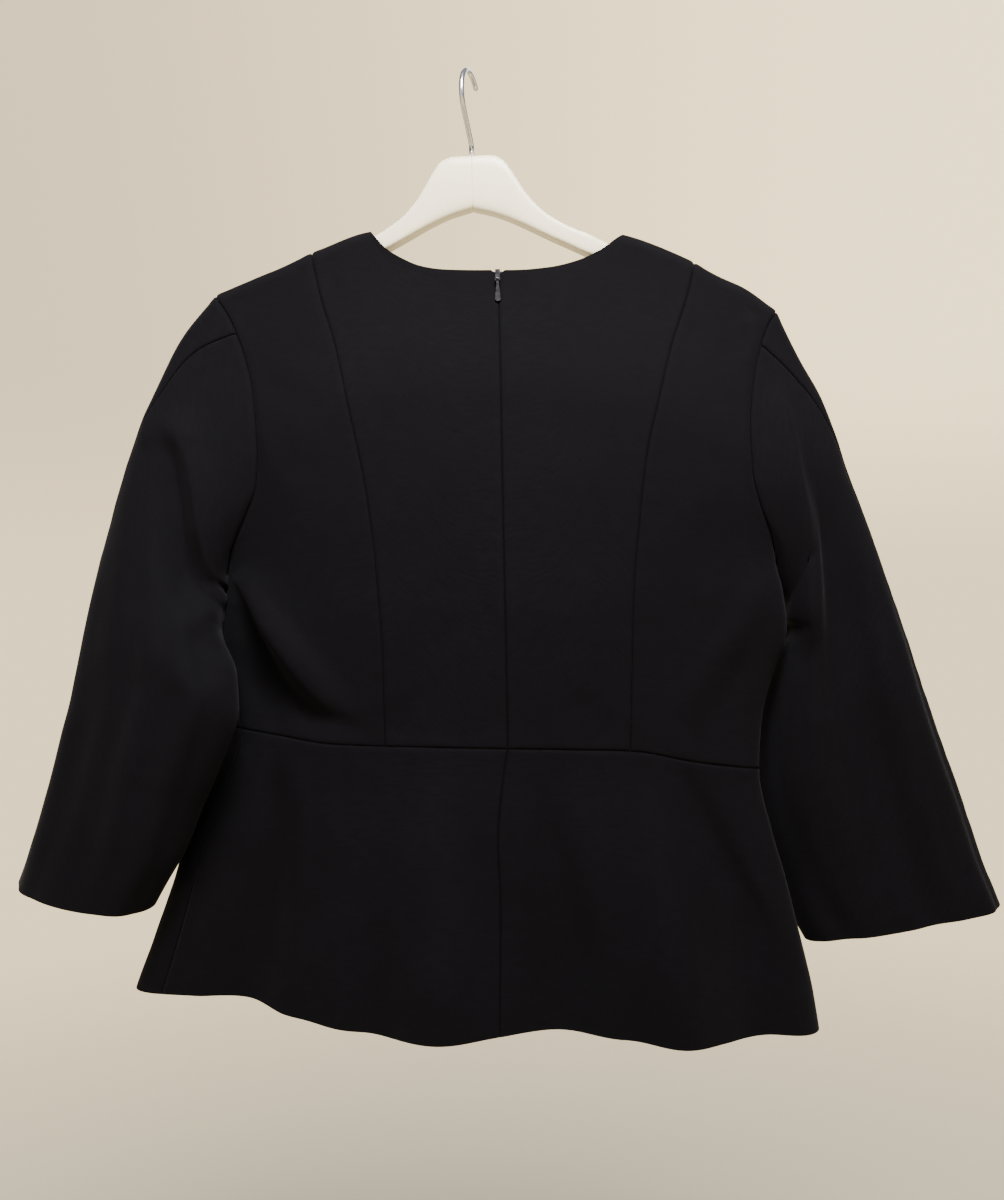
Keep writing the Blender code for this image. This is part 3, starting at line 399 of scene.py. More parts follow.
# Folds along a sleeve run from (s0, angle0) to (s1, angle1), in shares of its length and degrees
SLEEVE_FOLDS = "s0 angle0 s1 angle1 wide push"
LEFT_SLEEVE_FOLDS = table(
    SLEEVE_FOLDS,
    [
        (0.16, 70, 0.98, 96, 20, -4.0), (0.2, 112, 1.05, 138, 20, 4.5), (0.3, 28, 1.1, 52, 18, 3.0),
        (0.2, 250, 1.1, 262, 24, 4.0), (0.25, 300, 1.1, 306, 20, -4.0),
    ],
)
RIGHT_SLEEVE_FOLDS = table(
    SLEEVE_FOLDS,
    [
        (0.12, 96, 0.75, 112, 18, 4.5), (0.22, 66, 1.1, 74, 20, -5.0), (0.35, 34, 1.1, 38, 18, 4.0),
        (0.3, 146, 1.1, 128, 16, -3.0), (0.2, 244, 1.1, 262, 24, 4.0), (0.3, 310, 1.1, 300, 20, -4.0),
    ],
)

HANGER_TOP = table(
    "x z",
    [
        (0, -63), (14, -63), (23, -66), (29, -73), (35, -83), (43, -95.5), (57, -110), (78, -122.5),
        (103, -132), (125, -139.4), (154, -147.8), (170, -156.2), (188, -168.4), (198, -175.2),
        (205, -181),
    ],
)
HANGER_FOOT = table(
    "x z",
    [
        (0, -104), (18, -109), (66, -132), (103, -149.5), (125, -156), (154, -164), (188, -184.5),
        (198, -189.5), (205, -188),
    ],
)


def curve(data, key, value):
    """A smooth function through a table's rows that never swings past them."""
    order = np.argsort(data[key])
    at = data[key][order]
    out = data[value][order]
    step = np.diff(at)
    rise = np.diff(out) / step
    slope = np.empty(len(at))
    slope[0] = rise[0]
    slope[-1] = rise[-1]
    same = rise[:-1] * rise[1:] > 0
    total = np.where(same, rise[:-1] + rise[1:], 1.0)
    slope[1:-1] = np.where(same, 2 * rise[:-1] * rise[1:] / total, 0.0)

    def read(x):
        x = np.asarray(x, float)
        i = np.clip(np.searchsorted(at, x) - 1, 0, len(step) - 1)
        t = (x - at[i]) / step[i]
        inside = np.clip(t, 0, 1)
        beyond = (t - inside) * step[i] * np.where(t < 0, slope[0], slope[-1])
        a = (1 + 2 * inside) * (1 - inside) ** 2 * out[i] + inside**2 * (3 - 2 * inside) * out[i + 1]
        b = inside * (1 - inside) ** 2 * slope[i] - inside**2 * (1 - inside) * slope[i + 1]
        return a + b * step[i] + beyond

    return read


left_edge = curve(SECTIONS, "z", "left")
right_edge = curve(SECTIONS, "z", "right")
back_depth = curve(SECTIONS, "z", "back")
front_depth = curve(SECTIONS, "z", "front")
ridge = curve(RIDGE, "x", "z")
waist_height = curve(WAIST, "x", "z")
hem_height = curve(HEM, "x", "z")
neck_height = curve(BACK_NECK, "x", "z")
centre_back = curve(CENTRE_BACK, "z", "x")
princess = {"left": curve(PRINCESS_LEFT, "z", "x"), "right": curve(PRINCESS_RIGHT, "z", "x")}
armhole_x = {"left": curve(LEFT_ARMHOLE, "z", "x"), "right": curve(RIGHT_ARMHOLE, "z", "x")}
armhole_span = {
    "left": (LEFT_ARMHOLE["z"].max(), LEFT_ARMHOLE["z"].min()),
    "right": (RIGHT_ARMHOLE["z"].max(), RIGHT_ARMHOLE["z"].min()),
}
side_turn = {"left": curve(SIDE_TURN, "z", "left"), "right": curve(SIDE_TURN, "z", "right")}
seam_angle = curve(SEAM_DRIFT, "s", "angle")
NECK_X = {"left": BACK_NECK["x"].min(), "right": BACK_NECK["x"].max()}
PRINCESS_TOP = {"left": PRINCESS_LEFT["x"][0], "right": PRINCESS_RIGHT["x"][0]}


def smooth(t):
    """0 to 1 with level ends."""
    t = np.clip(t, 0, 1)
    return t * t * (3 - 2 * t)


def between(start, end, share):
    return start + (end - start) * share


def bell(x):
    """1 at 0, and less and less to both sides of it."""
    return np.exp(-(x**2))


def arch(across):
    """1 at 0, and nothing from 1 on."""
    return np.cos(np.clip(across, 0, 1) * np.pi / 2) ** 2


def unit(vectors):
    return vectors / np.linalg.norm(vectors, axis=-1, keepdims=True)


def beside_run(row, x, z):
    """The share of a straight run that each place has passed, its distance off it and its length."""
    run = np.array([row["x1"] - row["x0"], row["z1"] - row["z0"]])
    length = np.hypot(*run)
    run = run / length
    along = ((x - row["x0"]) * run[0] + (z - row["z0"]) * run[1]) / length
    off = (x - row["x0"]) * run[1] - (z - row["z0"]) * run[0]
    return along, off, length


def fold_push(folds, x, z):
    """How far the folds push the cloth out at a place on the body."""
    total = np.zeros(np.broadcast(x, z).shape)
    for fold in rows_of(folds):
        along, off, _ = beside_run(fold, x, z)
        t = np.clip(along, 0, 1)
        strength = np.sin(np.pi * t) if fold["fades"] else smooth(t)
        total = total + fold["push"] * strength * arch(np.abs(off) / between(fold["wide0"], fold["wide1"], t))
    return total


def body_x(angle, z):
    low, high = left_edge(z), right_edge(z)
    return low + (high - low) * (1 - np.cos(angle)) / 2


def body_angle(x, z):
    """The angle round the body's back at which it is x wide: 0 at the left, pi at the right."""
    share = (x - left_edge(z)) / (right_edge(z) - left_edge(z))
    return np.arccos(np.clip(1 - 2 * share, -1, 1))


def body_point(angle, z):
    """A point of the body's outside. Angles up to pi are its back and from pi to 2 pi its front.

    A height above the shoulder ridge runs on over the ridge and down the other side.
    """
    angle, z = np.broadcast_arrays(np.asarray(angle, float), np.asarray(z, float))
    x = body_x(angle, z)
    below = ridge(x) - z
    over = below < 0
    below = np.abs(below)
    height = ridge(x) - below
    back = (np.sin(angle) >= 0) != over
    side = np.abs(np.sin(angle)) ** SIDE_ROUNDNESS
    near = np.minimum(below, RIDGE_RADIUS) / RIDGE_RADIUS
    rounding = RIDGE_RADIUS * np.sqrt(1 - (1 - near) ** 2)
    rounding = rounding * (1 + (side - 1) * smooth(below / SIDE_FADE))
    full = np.where(back, back_depth(height), front_depth(height)) - RIDGE_RADIUS
    push = np.where(back, fold_push(BACK_FOLDS, x, height), fold_push(FRONT_FOLDS, x, height))
    depth = rounding + side * (full * smooth(below / BODY_FADE) + push)
    return np.stack([x, np.where(back, -depth, depth), height], axis=-1)


def surface_normals(surface, u, v, step_u, step_v):
    """Unit normals of a two-parameter surface, by small steps to both sides."""
    du = surface(u + step_u, v) - surface(u - step_u, v)
    dv = surface(u, v + step_v) - surface(u, v - step_v)
    return unit(np.cross(du, dv))


def body_normals(angle, z):
    return surface_normals(body_point, angle, z, 0.004, 0.4)


def on_line(angle, height):
    """(angle, z) where the body at that angle meets a line given as a height over x."""
    z = np.full(np.shape(angle), float(height(0.0)))
    for _ in range(12):
        z = height(body_x(angle, z))
    return np.stack([angle, z], axis=-1)


def seam_foot(seam, height):
    """The z where a seam, given as x over z, meets a line given as a height over x."""
    z = float(height(seam(WAIST_HEIGHT)))
    for _ in range(12):
        z = float(height(seam(z)))
    return z


def armhole(side, turn):
    """(angle, z) on an armhole, turn in degrees: 0 at the shoulder, 90 at the back, 180 below."""
    turn = (np.asarray(turn, float) + 180) % 360 - 180
    turn = np.where(turn == -180, 180.0, turn)
    top, foot = armhole_span[side]
    z = top + (foot - top) * (1 - np.cos(np.radians(turn))) / 2
    inset = np.where(turn < 0, FRONT_ARMHOLE_INSET * np.sin(np.radians(np.abs(turn))), 0)
    x = armhole_x[side](z) + INWARDS[side] * inset
    angle = body_angle(x, z)
    return np.where(turn < 0, 2 * np.pi - angle, angle), z


def side_seam_angle(side, z):
    turn = np.radians(side_turn[side](z))
    return turn if side == "left" else np.pi - turn


def mixed_normal(side, turn):
    """The normal shared by a body panel and a sleeve where they meet at an armhole."""
    body = body_normals(*armhole(side, turn))
    return unit(body + sleeve_normals(side, np.zeros(np.shape(turn)), turn))


def blend_normals(normals, towards, distance):
    """Normals that turn to those of the seam as they near it."""
    return unit(normals + (towards - normals) * bell(distance / SEAM_BLEND)[..., None])


def sleeve_shares(data):
    """How far along the sleeve each row of its table lies, from 0 to 1."""
    x = (data["outer_x"] + data["inner_x"]) / 2
    z = (data["outer_z"] + data["inner_z"]) / 2
    run = np.concatenate([[0], np.cumsum(np.hypot(np.diff(x), np.diff(z)))])
    return run / run[-1]


def sleeve_curves(data):
    data = dict(data, s=sleeve_shares(data))
    return {name: curve(data, "s", name) for name in SLEEVE.split()}


SLEEVES = {"left": sleeve_curves(LEFT_SLEEVE), "right": sleeve_curves(RIGHT_SLEEVE)}
SLEEVE_FOLD_ROWS = {"left": LEFT_SLEEVE_FOLDS, "right": RIGHT_SLEEVE_FOLDS}


def sleeve_fold(side, s, turn):
    """How far the folds push the sleeve out, in millimetres."""
    total = np.zeros(np.broadcast(s, turn).shape)
    for fold in rows_of(SLEEVE_FOLD_ROWS[side]):
        t = (s - fold["s0"]) / (fold["s1"] - fold["s0"])
        middle = between(fold["angle0"], fold["angle1"], np.clip(t, 0, 1))
        across = np.abs((turn - middle + 180) % 360 - 180) / fold["wide"]
        total = total + fold["push"] * smooth(3 * t) * smooth(4 * (1 - t) + 0.3) * arch(across)
    return total


def sleeve_ring(side, s, turn):
    c = SLEEVES[side]
    outer = np.stack([c["outer_x"](s), c["outer_y"](s), c["outer_z"](s)], axis=-1)
    inner = np.stack([c["inner_x"](s), c["inner_y"](s), c["inner_z"](s)], axis=-1)
    round_angle = np.radians(turn)
    half = (outer - inner) / 2
    width = np.linalg.norm(half, axis=-1)
    fold = sleeve_fold(side, s, turn)
    grow = (1 + fold / width)[..., None]
    point = (outer + inner) / 2 + half * np.cos(round_angle)[..., None] * grow
    depth = np.where(np.sin(round_angle) > 0, c["back"](s), c["front"](s))
    point[..., 1] -= (depth + fold) * np.sin(round_angle)
    return point


def sleeve_point(side, s, turn):
    """A point of a sleeve's outside: s runs from the armhole, 0, to the cuff, 1."""
    s, turn = np.broadcast_arrays(np.asarray(s, float), np.asarray(turn, float))
    start = body_point(*armhole(side, turn)) - sleeve_ring(side, np.zeros(s.shape), turn)
    point = sleeve_ring(side, s, turn) + start * (1 - smooth(s / ARMHOLE_BLEND))[..., None]
    moved = clear_of_body(side, point)
    free = smooth(s / FREE_OF_ARMHOLE)[..., None]
    return point + (moved - point) * free


def clear_of_body(side, point):
    """Moves points of a sleeve that would lie inside the body's edge out past it."""
    x, y, z = (point[..., i] for i in range(3))
    outwards = -INWARDS[side]
    rim = left_edge(z) if side == "left" else right_edge(z)
    pivot = rim - outwards * PIVOT_INSET
    bearing = np.arctan2(-y, outwards * (x - pivot))
    low = np.full(z.shape, -np.pi / 3)
    high = np.full(z.shape, np.pi / 3)
    for _ in range(30):
        middle = (low + high) / 2
        edge = body_edge_point(side, middle, z)
        short = np.arctan2(-edge[..., 1], outwards * (edge[..., 0] - pivot)) < bearing
        low = np.where(short, middle, low)
        high = np.where(short, high, middle)
    edge = body_edge_point(side, (low + high) / 2, z)
    needed = np.hypot(edge[..., 1], edge[..., 0] - pivot) + BODY_CLEARANCE
    now = np.hypot(y, x - pivot)
    inside = (np.abs(bearing) < np.pi / 2) & (now < needed)
    below = smooth((armhole_span[side][1] + CLEARANCE_RAMP - z) / (2 * CLEARANCE_RAMP))
    scale = np.where(inside, 1 + (needed / np.maximum(now, 1e-6) - 1) * below, 1.0)
    moved = point.copy()
    moved[..., 0] = pivot + (x - pivot) * scale
    moved[..., 1] = y * scale
    return moved


def body_edge_point(side, turn, z):
    """A point near the body's side edge: turn 0 is the edge itself, more is towards the back."""
    return body_point((turn if side == "left" else np.pi - turn) % (2 * np.pi), z)


def sleeve_normals(side, s, turn):
    def surface(turn, s):
        return sleeve_point(side, s, turn)

    normal = surface_normals(surface, turn, s, 1.0, 0.004)
    return -normal if side == "left" else normal


# Creases run from (x0, z0) to (x1, z1), bowed to one side by bow, and push the cloth out, or in
# where push is negative. They sharpen the broad folds above.
CREASES = "x0 z0 x1 z1 bow wide0 wide1 push"
BACK_CREASES = table(
    CREASES,
    [
        (-163, -232, -112, -270, -3, 9, 16, -1.1), (-172, -262, -128, -330, 5, 8, 16, 0.8),
        (-128, -150, -118, -214, 2, 6, 12, 0.7), (206, -192, 208, -238, -2, 4, 9, 1.6),
        (196, -206, 186, -276, 4, 9, 16, -0.9), (190, -320, 150, -352, 3, 9, 14, 0.6),
        (28, -190, 30, -262, 1, 4, 7, 0.5), (12, -300, 10, -392, -1, 4, 8, 0.45),
        (-40, -470, -66, -508, 2, 8, 13, -0.8), (70, -474, 92, -512, -2, 8, 13, -0.8),
        (-140, -518, -134, -640, -3, 6, 12, 1.0), (-112, -520, -116, -700, 2, 6, 15, 1.3),
        (-16, -540, -6, -716, 2, 8, 14, -0.9), (100, -526, 112, -706, 3, 6, 14, 1.1),
    ],
)
FRONT_CREASES = table(
    CREASES,
    [
        (-186, -390, -104, -482, 9, 6, 12, 2.2), (-184, -410, -120, -492, 8, 7, 13, -1.9),
        (216, -392, 130, -492, -9, 6, 13, 2.3), (214, -412, 146, -502, -8, 7, 14, -1.8),
        (-158, -226, -116, -262, -3, 9, 15, -1.0), (196, -214, 160, -262, 3, 9, 15, -1.0),
        (-54, -214, -30, -286, 5, 7, 14, 0.8), (88, -214, 66, -292, -5, 7, 14, 0.8),
        (-50, -462, -80, -508, 3, 8, 13, -0.9), (88, -468, 116, -514, -3, 8, 13, -0.8),
        (-140, -512, -176, -700, -5, 6, 16, 2.0), (-112, -516, -126, -704, -3, 6, 14, -1.6),
        (-70, -518, -62, -708, 4, 6, 16, 1.9), (-20, -520, -14, -710, 3, 6, 15, -1.6),
        (34, -520, 44, -714, -3, 6, 15, 1.5), (78, -522, 98, -716, 4, 7, 17, 1.9),
        (112, -528, 142, -718, 3, 6, 14, -1.8), (150, -534, 184, -716, 4, 6, 15, 1.6),
    ],
)
# The sleeves' creases as they are seen from behind, and those seen from the front
LEFT_SLEEVE_BACK_CREASES = table(
    CREASES,
    [
        (-256, -400, -232, -452, -4, 9, 15, 1.3), (-228, -452, -262, -596, 7, 9, 20, 1.9),
        (-264, -430, -300, -604, 8, 9, 20, -2.1), (-298, -470, -334, -612, 5, 8, 17, 1.5),
        (-190, -452, -232, -540, -6, 6, 13, 1.5), (-206, -448, -252, -560, -5, 7, 14, -1.6),
    ],
)
LEFT_SLEEVE_FRONT_CREASES = table(
    CREASES,
    [
        (-186, -330, -226, -398, 6, 7, 12, 2.0), (-204, -372, -256, -424, 5, 7, 12, -1.8),
        (-226, -300, -270, -440, 7, 9, 18, 1.6), (-246, -430, -300, -600, 7, 9, 20, -1.9),
        (-222, -446, -268, -600, 6, 9, 18, 1.8), (-290, -430, -334, -600, 5, 9, 18, 1.4),
    ],
)
RIGHT_SLEEVE_BACK_CREASES = table(
    CREASES,
    [
        (290, -420, 340, -640, -5, 8, 18, 1.8), (318, -440, 366, -640, -4, 8, 16, -1.4),
        (230, -520, 256, -650, -4, 6, 12, 1.1),
    ],
)
RIGHT_SLEEVE_FRONT_CREASES = table(
    CREASES,
    [
        (214, -330, 250, -404, -6, 7, 12, 2.0), (232, -392, 274, -430, -4, 6, 12, -1.8),
        (252, -312, 296, -470, -6, 9, 18, 1.6), (262, -450, 318, -640, -6, 9, 19, -1.9),
        (244, -470, 280, -646, -5, 9, 17, 1.7), (306, -440, 352, -640, -5, 9, 18, 1.4),
    ],
)

# Folds run through their points and push the cloth out, or in where push is negative. left and
# right are how far they reach to each side of their run: a short reach makes a steep side
DRAPE = "x z left right push"
BACK_DRAPES = [
    # The fold that drops from the left underarm across the side panel, and the hollow under it
    table(
        DRAPE,
        [
            (-190, -380, 12, 4, 0.6), (-181, -389, 16, 4, 3.8), (-172, -403, 20, 4, 5.5),
            (-162, -422, 22, 4, 5.8), (-147, -442, 22, 4.5, 4.8), (-132, -461, 20, 5, 3.1),
            (-118, -478, 16, 7, 1), (-108, -488, 14, 8, 0),
        ],
    ),
    table(
        DRAPE,
        [
            (-184, -400, 5, 10, -0.6), (-176, -420, 6, 14, -4.3), (-165, -443, 7, 16, -6.2),
            (-152, -466, 8, 16, -6.5), (-133, -484, 9, 12, -5.3), (-110, -493, 8, 9, -3.4),
            (-88, -497, 7, 8, 0),
        ],
    ),
    table(DRAPE, [(222, -388, 8, 10, 0), (204, -420, 9, 14, 0.9), (180, -456, 10, 14, 0)]),
    table(DRAPE, [(218, -420, 8, 12, 0), (194, -462, 10, 14, -1.0), (160, -498, 12, 14, 0)]),
    # The peplum's flares
    table(
        DRAPE,
        [
            (136, -512, 8, 8, 0), (148, -534, 9, 9, -2.2), (162, -562, 9, 12, -4.3),
            (188, -616, 9, 16, -5.1), (208, -654, 10, 18, -4.4), (224, -704, 12, 20, -0.6),
        ],
    ),
    table(
        DRAPE,
        [
            (120, -540, 10, 12, 0), (134, -600, 12, 16, 2.4), (144, -660, 15, 20, 2.7),
            (150, -706, 16, 22, 0.4),
        ],
    ),
    table(
        DRAPE,
        [
            (34, -530, 10, 10, 0), (54, -600, 14, 16, -2.4), (72, -660, 17, 18, -2.7),
            (84, -706, 18, 20, -0.4),
        ],
    ),
    table(
        DRAPE,
        [
            (-160, -508, 8, 6, 0), (-161, -560, 14, 10, -3.1), (-163, -650, 20, 13, -3.2),
            (-166, -696, 22, 14, -0.4),
        ],
    ),
    table(
        DRAPE,
        [
            (-66, -530, 16, 16, 0), (-56, -620, 24, 22, 1.8), (-50, -670, 26, 24, 2.5),
            (-46, -706, 26, 24, 0.4),
        ],
    ),
]
LEFT_SLEEVE_DRAPES = [
    # The upper sleeve stands proud of the lower one along a line down to the underarm
    table(
        DRAPE,
        [
            (-242, -258, 14, 10, 0.4), (-224, -279, 15, 6, 4.8), (-214, -318, 17, 4.5, 7.5),
            (-210, -359, 17, 4, 8.4), (-206, -394, 12, 4, 8.2), (-196, -419, 9, 4, 7.8),
            (-183, -437, 7, 4, 5.8), (-177, -449, 6, 5, 2.8), (-173, -460, 6, 6, 0),
        ],
    ),
    table(
        DRAPE,
        [
            (-233, -284, 5, 18, -0.8), (-225, -320, 5, 24, -4.8), (-220, -360, 5, 26, -6),
            (-216, -396, 5, 24, -5.4), (-205, -424, 5, 20, -4.5), (-190, -446, 6, 14, -2.4),
            (-182, -462, 6, 10, 0),
        ],
    ),
    table(DRAPE, [(-266, -270, 18, 9, 0), (-250, -272, 24, 9, 2.4), (-228, -276, 20, 8, 2.1)]),
    # The small creases where the underarm bunches
    table(
        DRAPE,
        [
            (-206, -380, 4, 3, 0), (-199, -389, 4, 3, 2.6), (-189, -394, 4, 3, 3.0),
            (-178, -400, 4, 3, 1.6),
        ],
    ),
    table(
        DRAPE,
        [
            (-211, -380, 3, 4, 0), (-203, -391, 3, 4, -3.2), (-193, -401, 3, 4, -3.8),
            (-182, -408, 3, 4, -3.0),
        ],
    ),
    table(DRAPE, [(-198, -380, 3, 3, -1.0), (-193, -385, 4, 3, -5.0), (-188, -387, 3, 3, -2.0)]),
]
RIGHT_SLEEVE_DRAPES = [
    # The ridge down the inner arm, which ends in a nook, and the long valley outside it
    table(
        DRAPE,
        [
            (226, -240, 6, 8, 0), (231, -269, 6, 12, 3.3), (237, -313, 5, 14, 5.7),
            (244, -347, 5, 15, 6.9), (248, -380, 5, 15, 7.5), (249, -412, 5, 14, 6.9),
            (248, -427, 6, 12, 4.8), (247, -442, 6, 10, 0.9),
        ],
    ),
    table(
        DRAPE,
        [
            (250, -300, 14, 6, -0.9), (256, -340, 20, 6, -4.5), (262, -391, 24, 7, -6.6),
            (267, -434, 26, 9, -6.9), (269, -474, 26, 11, -6.6), (277, -507, 26, 12, -6.3),
            (284, -557, 26, 14, -5.4), (296, -611, 24, 14, -4.2), (308, -650, 22, 14, -2.4),
        ],
    ),
    table(
        DRAPE,
        [
            (220, -430, 4, 9, -2.8), (232, -429, 4, 10, -4.4), (244, -430, 4, 8, -2.2),
            (251, -431, 4, 6, 0),
        ],
    ),
    table(
        DRAPE,
        [
            (238, -448, 9, 9, 0), (238, -472, 12, 9, 2.6), (240, -526, 14, 10, 3.2),
            (243, -600, 14, 10, 2.4), (247, -660, 14, 10, 1.2),
        ],
    ),
]
# Where a sleeve's inner edge swells out to all sides: its middle, its reach and its push
SWELLS = "x z wide tall push"
LEFT_SLEEVE_SWELLS = table(SWELLS, [(-208, -405, 9, 17, 4.4), (-206, -414, 8, 12, 3.4)])
RIGHT_SLEEVE_SWELLS = table(SWELLS, [(232, -403, 9, 20, 2.4), (229, -380, 9, 24, 1.6)])

# What shapes each face of the body, and each sleeve
BODY_CREASES = {
    "back": (BACK_CREASES, BACK_DRAPES, 0),
    "front": (FRONT_CREASES, [], FRONT_SHIFT),
}
SLEEVE_CREASES = {
    "left": (
        LEFT_SLEEVE_BACK_CREASES,
        LEFT_SLEEVE_FRONT_CREASES,
        LEFT_SLEEVE_DRAPES,
        LEFT_SLEEVE_SWELLS,
    ),
    "right": (
        RIGHT_SLEEVE_BACK_CREASES,
        RIGHT_SLEEVE_FRONT_CREASES,
        RIGHT_SLEEVE_DRAPES,
        RIGHT_SLEEVE_SWELLS,
    ),
}

# How the four edges of a piece end: all sewn, or one of them turned under
SEWN = dict.fromkeys(("top", "foot", "left", "right"), "seam")
FOLDED_TOP = {**SEWN, "top": "fold"}
FOLDED_FOOT = {**SEWN, "foot": "fold"}


def noise_field(seed):
    """A smooth random function of the plane, from -1 to 1, one lattice cell to a unit."""
    lattice = np.random.RandomState(seed).uniform(-1, 1, (LATTICE, LATTICE))

    def read(u, v):
        i, j = np.floor(u).astype(int), np.floor(v).astype(int)
        a, b = smooth(u - i), smooth(v - j)
        west, east, north, south = (k % LATTICE for k in (i, i + 1, j, j + 1))
        top = lattice[west, north] * (1 - a) + lattice[east, north] * a
        foot = lattice[west, south] * (1 - a) + lattice[east, south] * a
        return top * (1 - b) + foot * b

    return read


# The cloth's own unevenness: the cells each way before it repeats, and the cell width, cell height
# and height of each layer of it, in millimetres
LATTICE = 64
WANDER = table("wide tall height", [(62, 118, 0.95), (30, 52, 0.42), (13, 19, 0.13)])
WANDER_FIELDS = [noise_field(seed) for seed in (11, 23, 37)]
PUCKER_FIELD = noise_field(53)


def wander(x, z):
    """A slight unevenness all over the cloth."""
    total = np.zeros(np.shape(x))
    for wide, tall, height, field in zip(*WANDER.values(), WANDER_FIELDS):
        total += height * field(x / wide + 31, z / tall + 17)
    return total


def crease_push(creases, x, z):
    """How far the creases push the cloth out at a place as it is seen from its side."""
    total = np.zeros(np.shape(x))
    for crease in rows_of(creases):
        along, off, length = beside_run(crease, x, z)
        t = np.clip(along, 0, 1)
        beyond = (along - t) * length
        off = off - crease["bow"] * 4 * t * (1 - t)
        wide = between(crease["wide0"], crease["wide1"], t)
        ends = smooth(t * 4 + 0.15) * smooth((1 - t) * 4 + 0.15)
        total += crease["push"] * ends * np.exp(-(off**2 + beyond**2) / wide**2)
    return total


def drape_push(drapes, x, z):
    """How far the sharper folds push the cloth out at a place as it is seen from its side."""
    total = np.zeros(np.shape(x))
    for drape in drapes:
        far = DRAPE_REACH * max(drape["left"].max(), drape["right"].max())
        near = (x > drape["x"].min() - far) & (x < drape["x"].max() + far)
        near &= (z > drape["z"].min() - far) & (z < drape["z"].max() + far)
        if near.any():
            total[near] += one_drape_push(drape, x[near], z[near])
    return total


def one_drape_push(drape, x, z):
    """How far one sharper fold pushes the cloth out, by the nearest stretch of its run."""
    at = np.arange(len(drape["x"]))
    way = np.linspace(0, at[-1], DRAPE_STEPS * at[-1] + 1)
    run = {name: curve({"at": at, "to": column}, "at", "to")(way) for name, column in drape.items()}
    nearest = np.full(x.shape, np.inf)
    push = np.zeros(x.shape)
    for i in range(len(way) - 1):
        a, b = ({name: column[k] for name, column in run.items()} for k in (i, i + 1))
        east, north = b["x"] - a["x"], b["z"] - a["z"]
        t = np.clip(((x - a["x"]) * east + (z - a["z"]) * north) / (east**2 + north**2), 0, 1)
        off_x, off_z = x - a["x"] - t * east, z - a["z"] - t * north
        distance = np.hypot(off_x, off_z)
        left, right, crest = (between(a[name], b[name], t) for name in ("left", "right", "push"))
        here = crest * bell(distance / np.where(east * off_z > north * off_x, left, right))
        push = np.where(distance < nearest, here, push)
        nearest = np.minimum(nearest, distance)
    return push


def swell_push(swells, x, z):
    """How far a sleeve's inner edge swells out."""
    total = np.zeros(np.shape(x))
    for x0, z0, wide, tall, push in zip(*swells.values()):
        total += push * np.exp(-(((x - x0) / wide) ** 2) - ((z - z0) / tall) ** 2)
    return total


def grid_normals(points, like):
    """Normals of a grid of points, on the same side as the given ones."""
    across = np.gradient(points, axis=1)
    down = np.gradient(points, axis=0)
    normal = np.cross(across, down)
    normal /= np.maximum(np.linalg.norm(normal, axis=-1, keepdims=True), 1e-9)
    return normal * np.sign((normal * like).sum(-1, keepdims=True))


def edge_distances(points):
    """The distance of each grid point from the grid's top, foot, left and right edges."""
    down = np.linalg.norm(np.diff(points, axis=0), axis=-1)
    down = np.concatenate([np.zeros((1, points.shape[1])), np.cumsum(down, axis=0)])
    across = np.linalg.norm(np.diff(points, axis=1), axis=-1)
    across = np.concatenate([np.zeros((points.shape[0], 1)), np.cumsum(across, axis=1)], axis=1)
    return {"top": down, "foot": down[-1:] - down, "left": across, "right": across[:, -1:] - across}


def rounding(distance, radius):
    """How far an edge has rounded over at a distance from it."""
    inside = np.clip(radius - distance, 0, radius)
    return radius - np.sqrt(radius**2 - inside**2)


def groove(distance):
    """How far a sewn edge rolls in towards its seam at a distance from it."""
    return SEAM_DEPTH * (1 - np.clip(distance / SEAM_WIDTH, 0, 1)) ** 1.5


def seam_relief(distance, along):
    """The low ridge over the seam allowance and the small puckers that the stitches draw."""
    lift = ALLOWANCE_LIFT * bell((distance - ALLOWANCE_MIDDLE) / ALLOWANCE_WIDTH)
    drawn = smooth(distance / 2) * np.exp(-distance / PUCKER_REACH)
    return lift + PUCKER_HEIGHT * drawn * PUCKER_FIELD(along / PUCKER_LENGTH, distance / 30)


def dress(name, points, normals, edges, push, turning=0.0):
    """A cloth piece that stands for the solid of the same name.

    points and normals are the grid of its outside, edges says how each side of it ends, push is
    how far creases move it, and turning is the width of a turned edge.
    """
    distance = edge_distances(points)
    relief = np.zeros(points.shape[:2])
    for side, kind in edges.items():
        if kind == "seam":
            other = "left" if side in ("top", "foot") else "top"
            relief += seam_relief(distance[side], distance[other])
    outside = points + normals * (push + relief)[..., None]
    close = np.min(list(distance.values()), axis=0)
    found = blend_normals(grid_normals(outside, normals), normals, close)
    thickness = np.full(close.shape, CLOTH)
    drop, rise, seam_shade = np.zeros((3, *close.shape))
    for side, kind in edges.items():
        d = distance[side]
        if kind == "fold":
            thickness += TURNED * smooth((turning + 1 - d) / 2)
            drop = np.maximum(drop, rounding(d, FOLD_ROUND))
            rise = np.maximum(rise, rounding(d, FOLD_ROUND))
        else:
            drop = np.maximum(drop, groove(d))
            # Painted shade along a sewn edge, strongest at the edge
            seam_shade = np.maximum(seam_shade, bell(d / SEAM_SHADE_WIDTH))
    inside = outside - found * (thickness - rise)[..., None]
    outside = outside - found * drop[..., None]
    made = add_shell(f"cloth_{name}", outside, inside, FINISHES["cloth"])
    # The painted seam shade goes to the cloth material as the point attribute named seam
    seam = made.data.attributes.new("seam", "FLOAT", "POINT")
    seam.data.foreach_set("value", np.tile(seam_shade.ravel(), 2))
    stands_for(made, name)


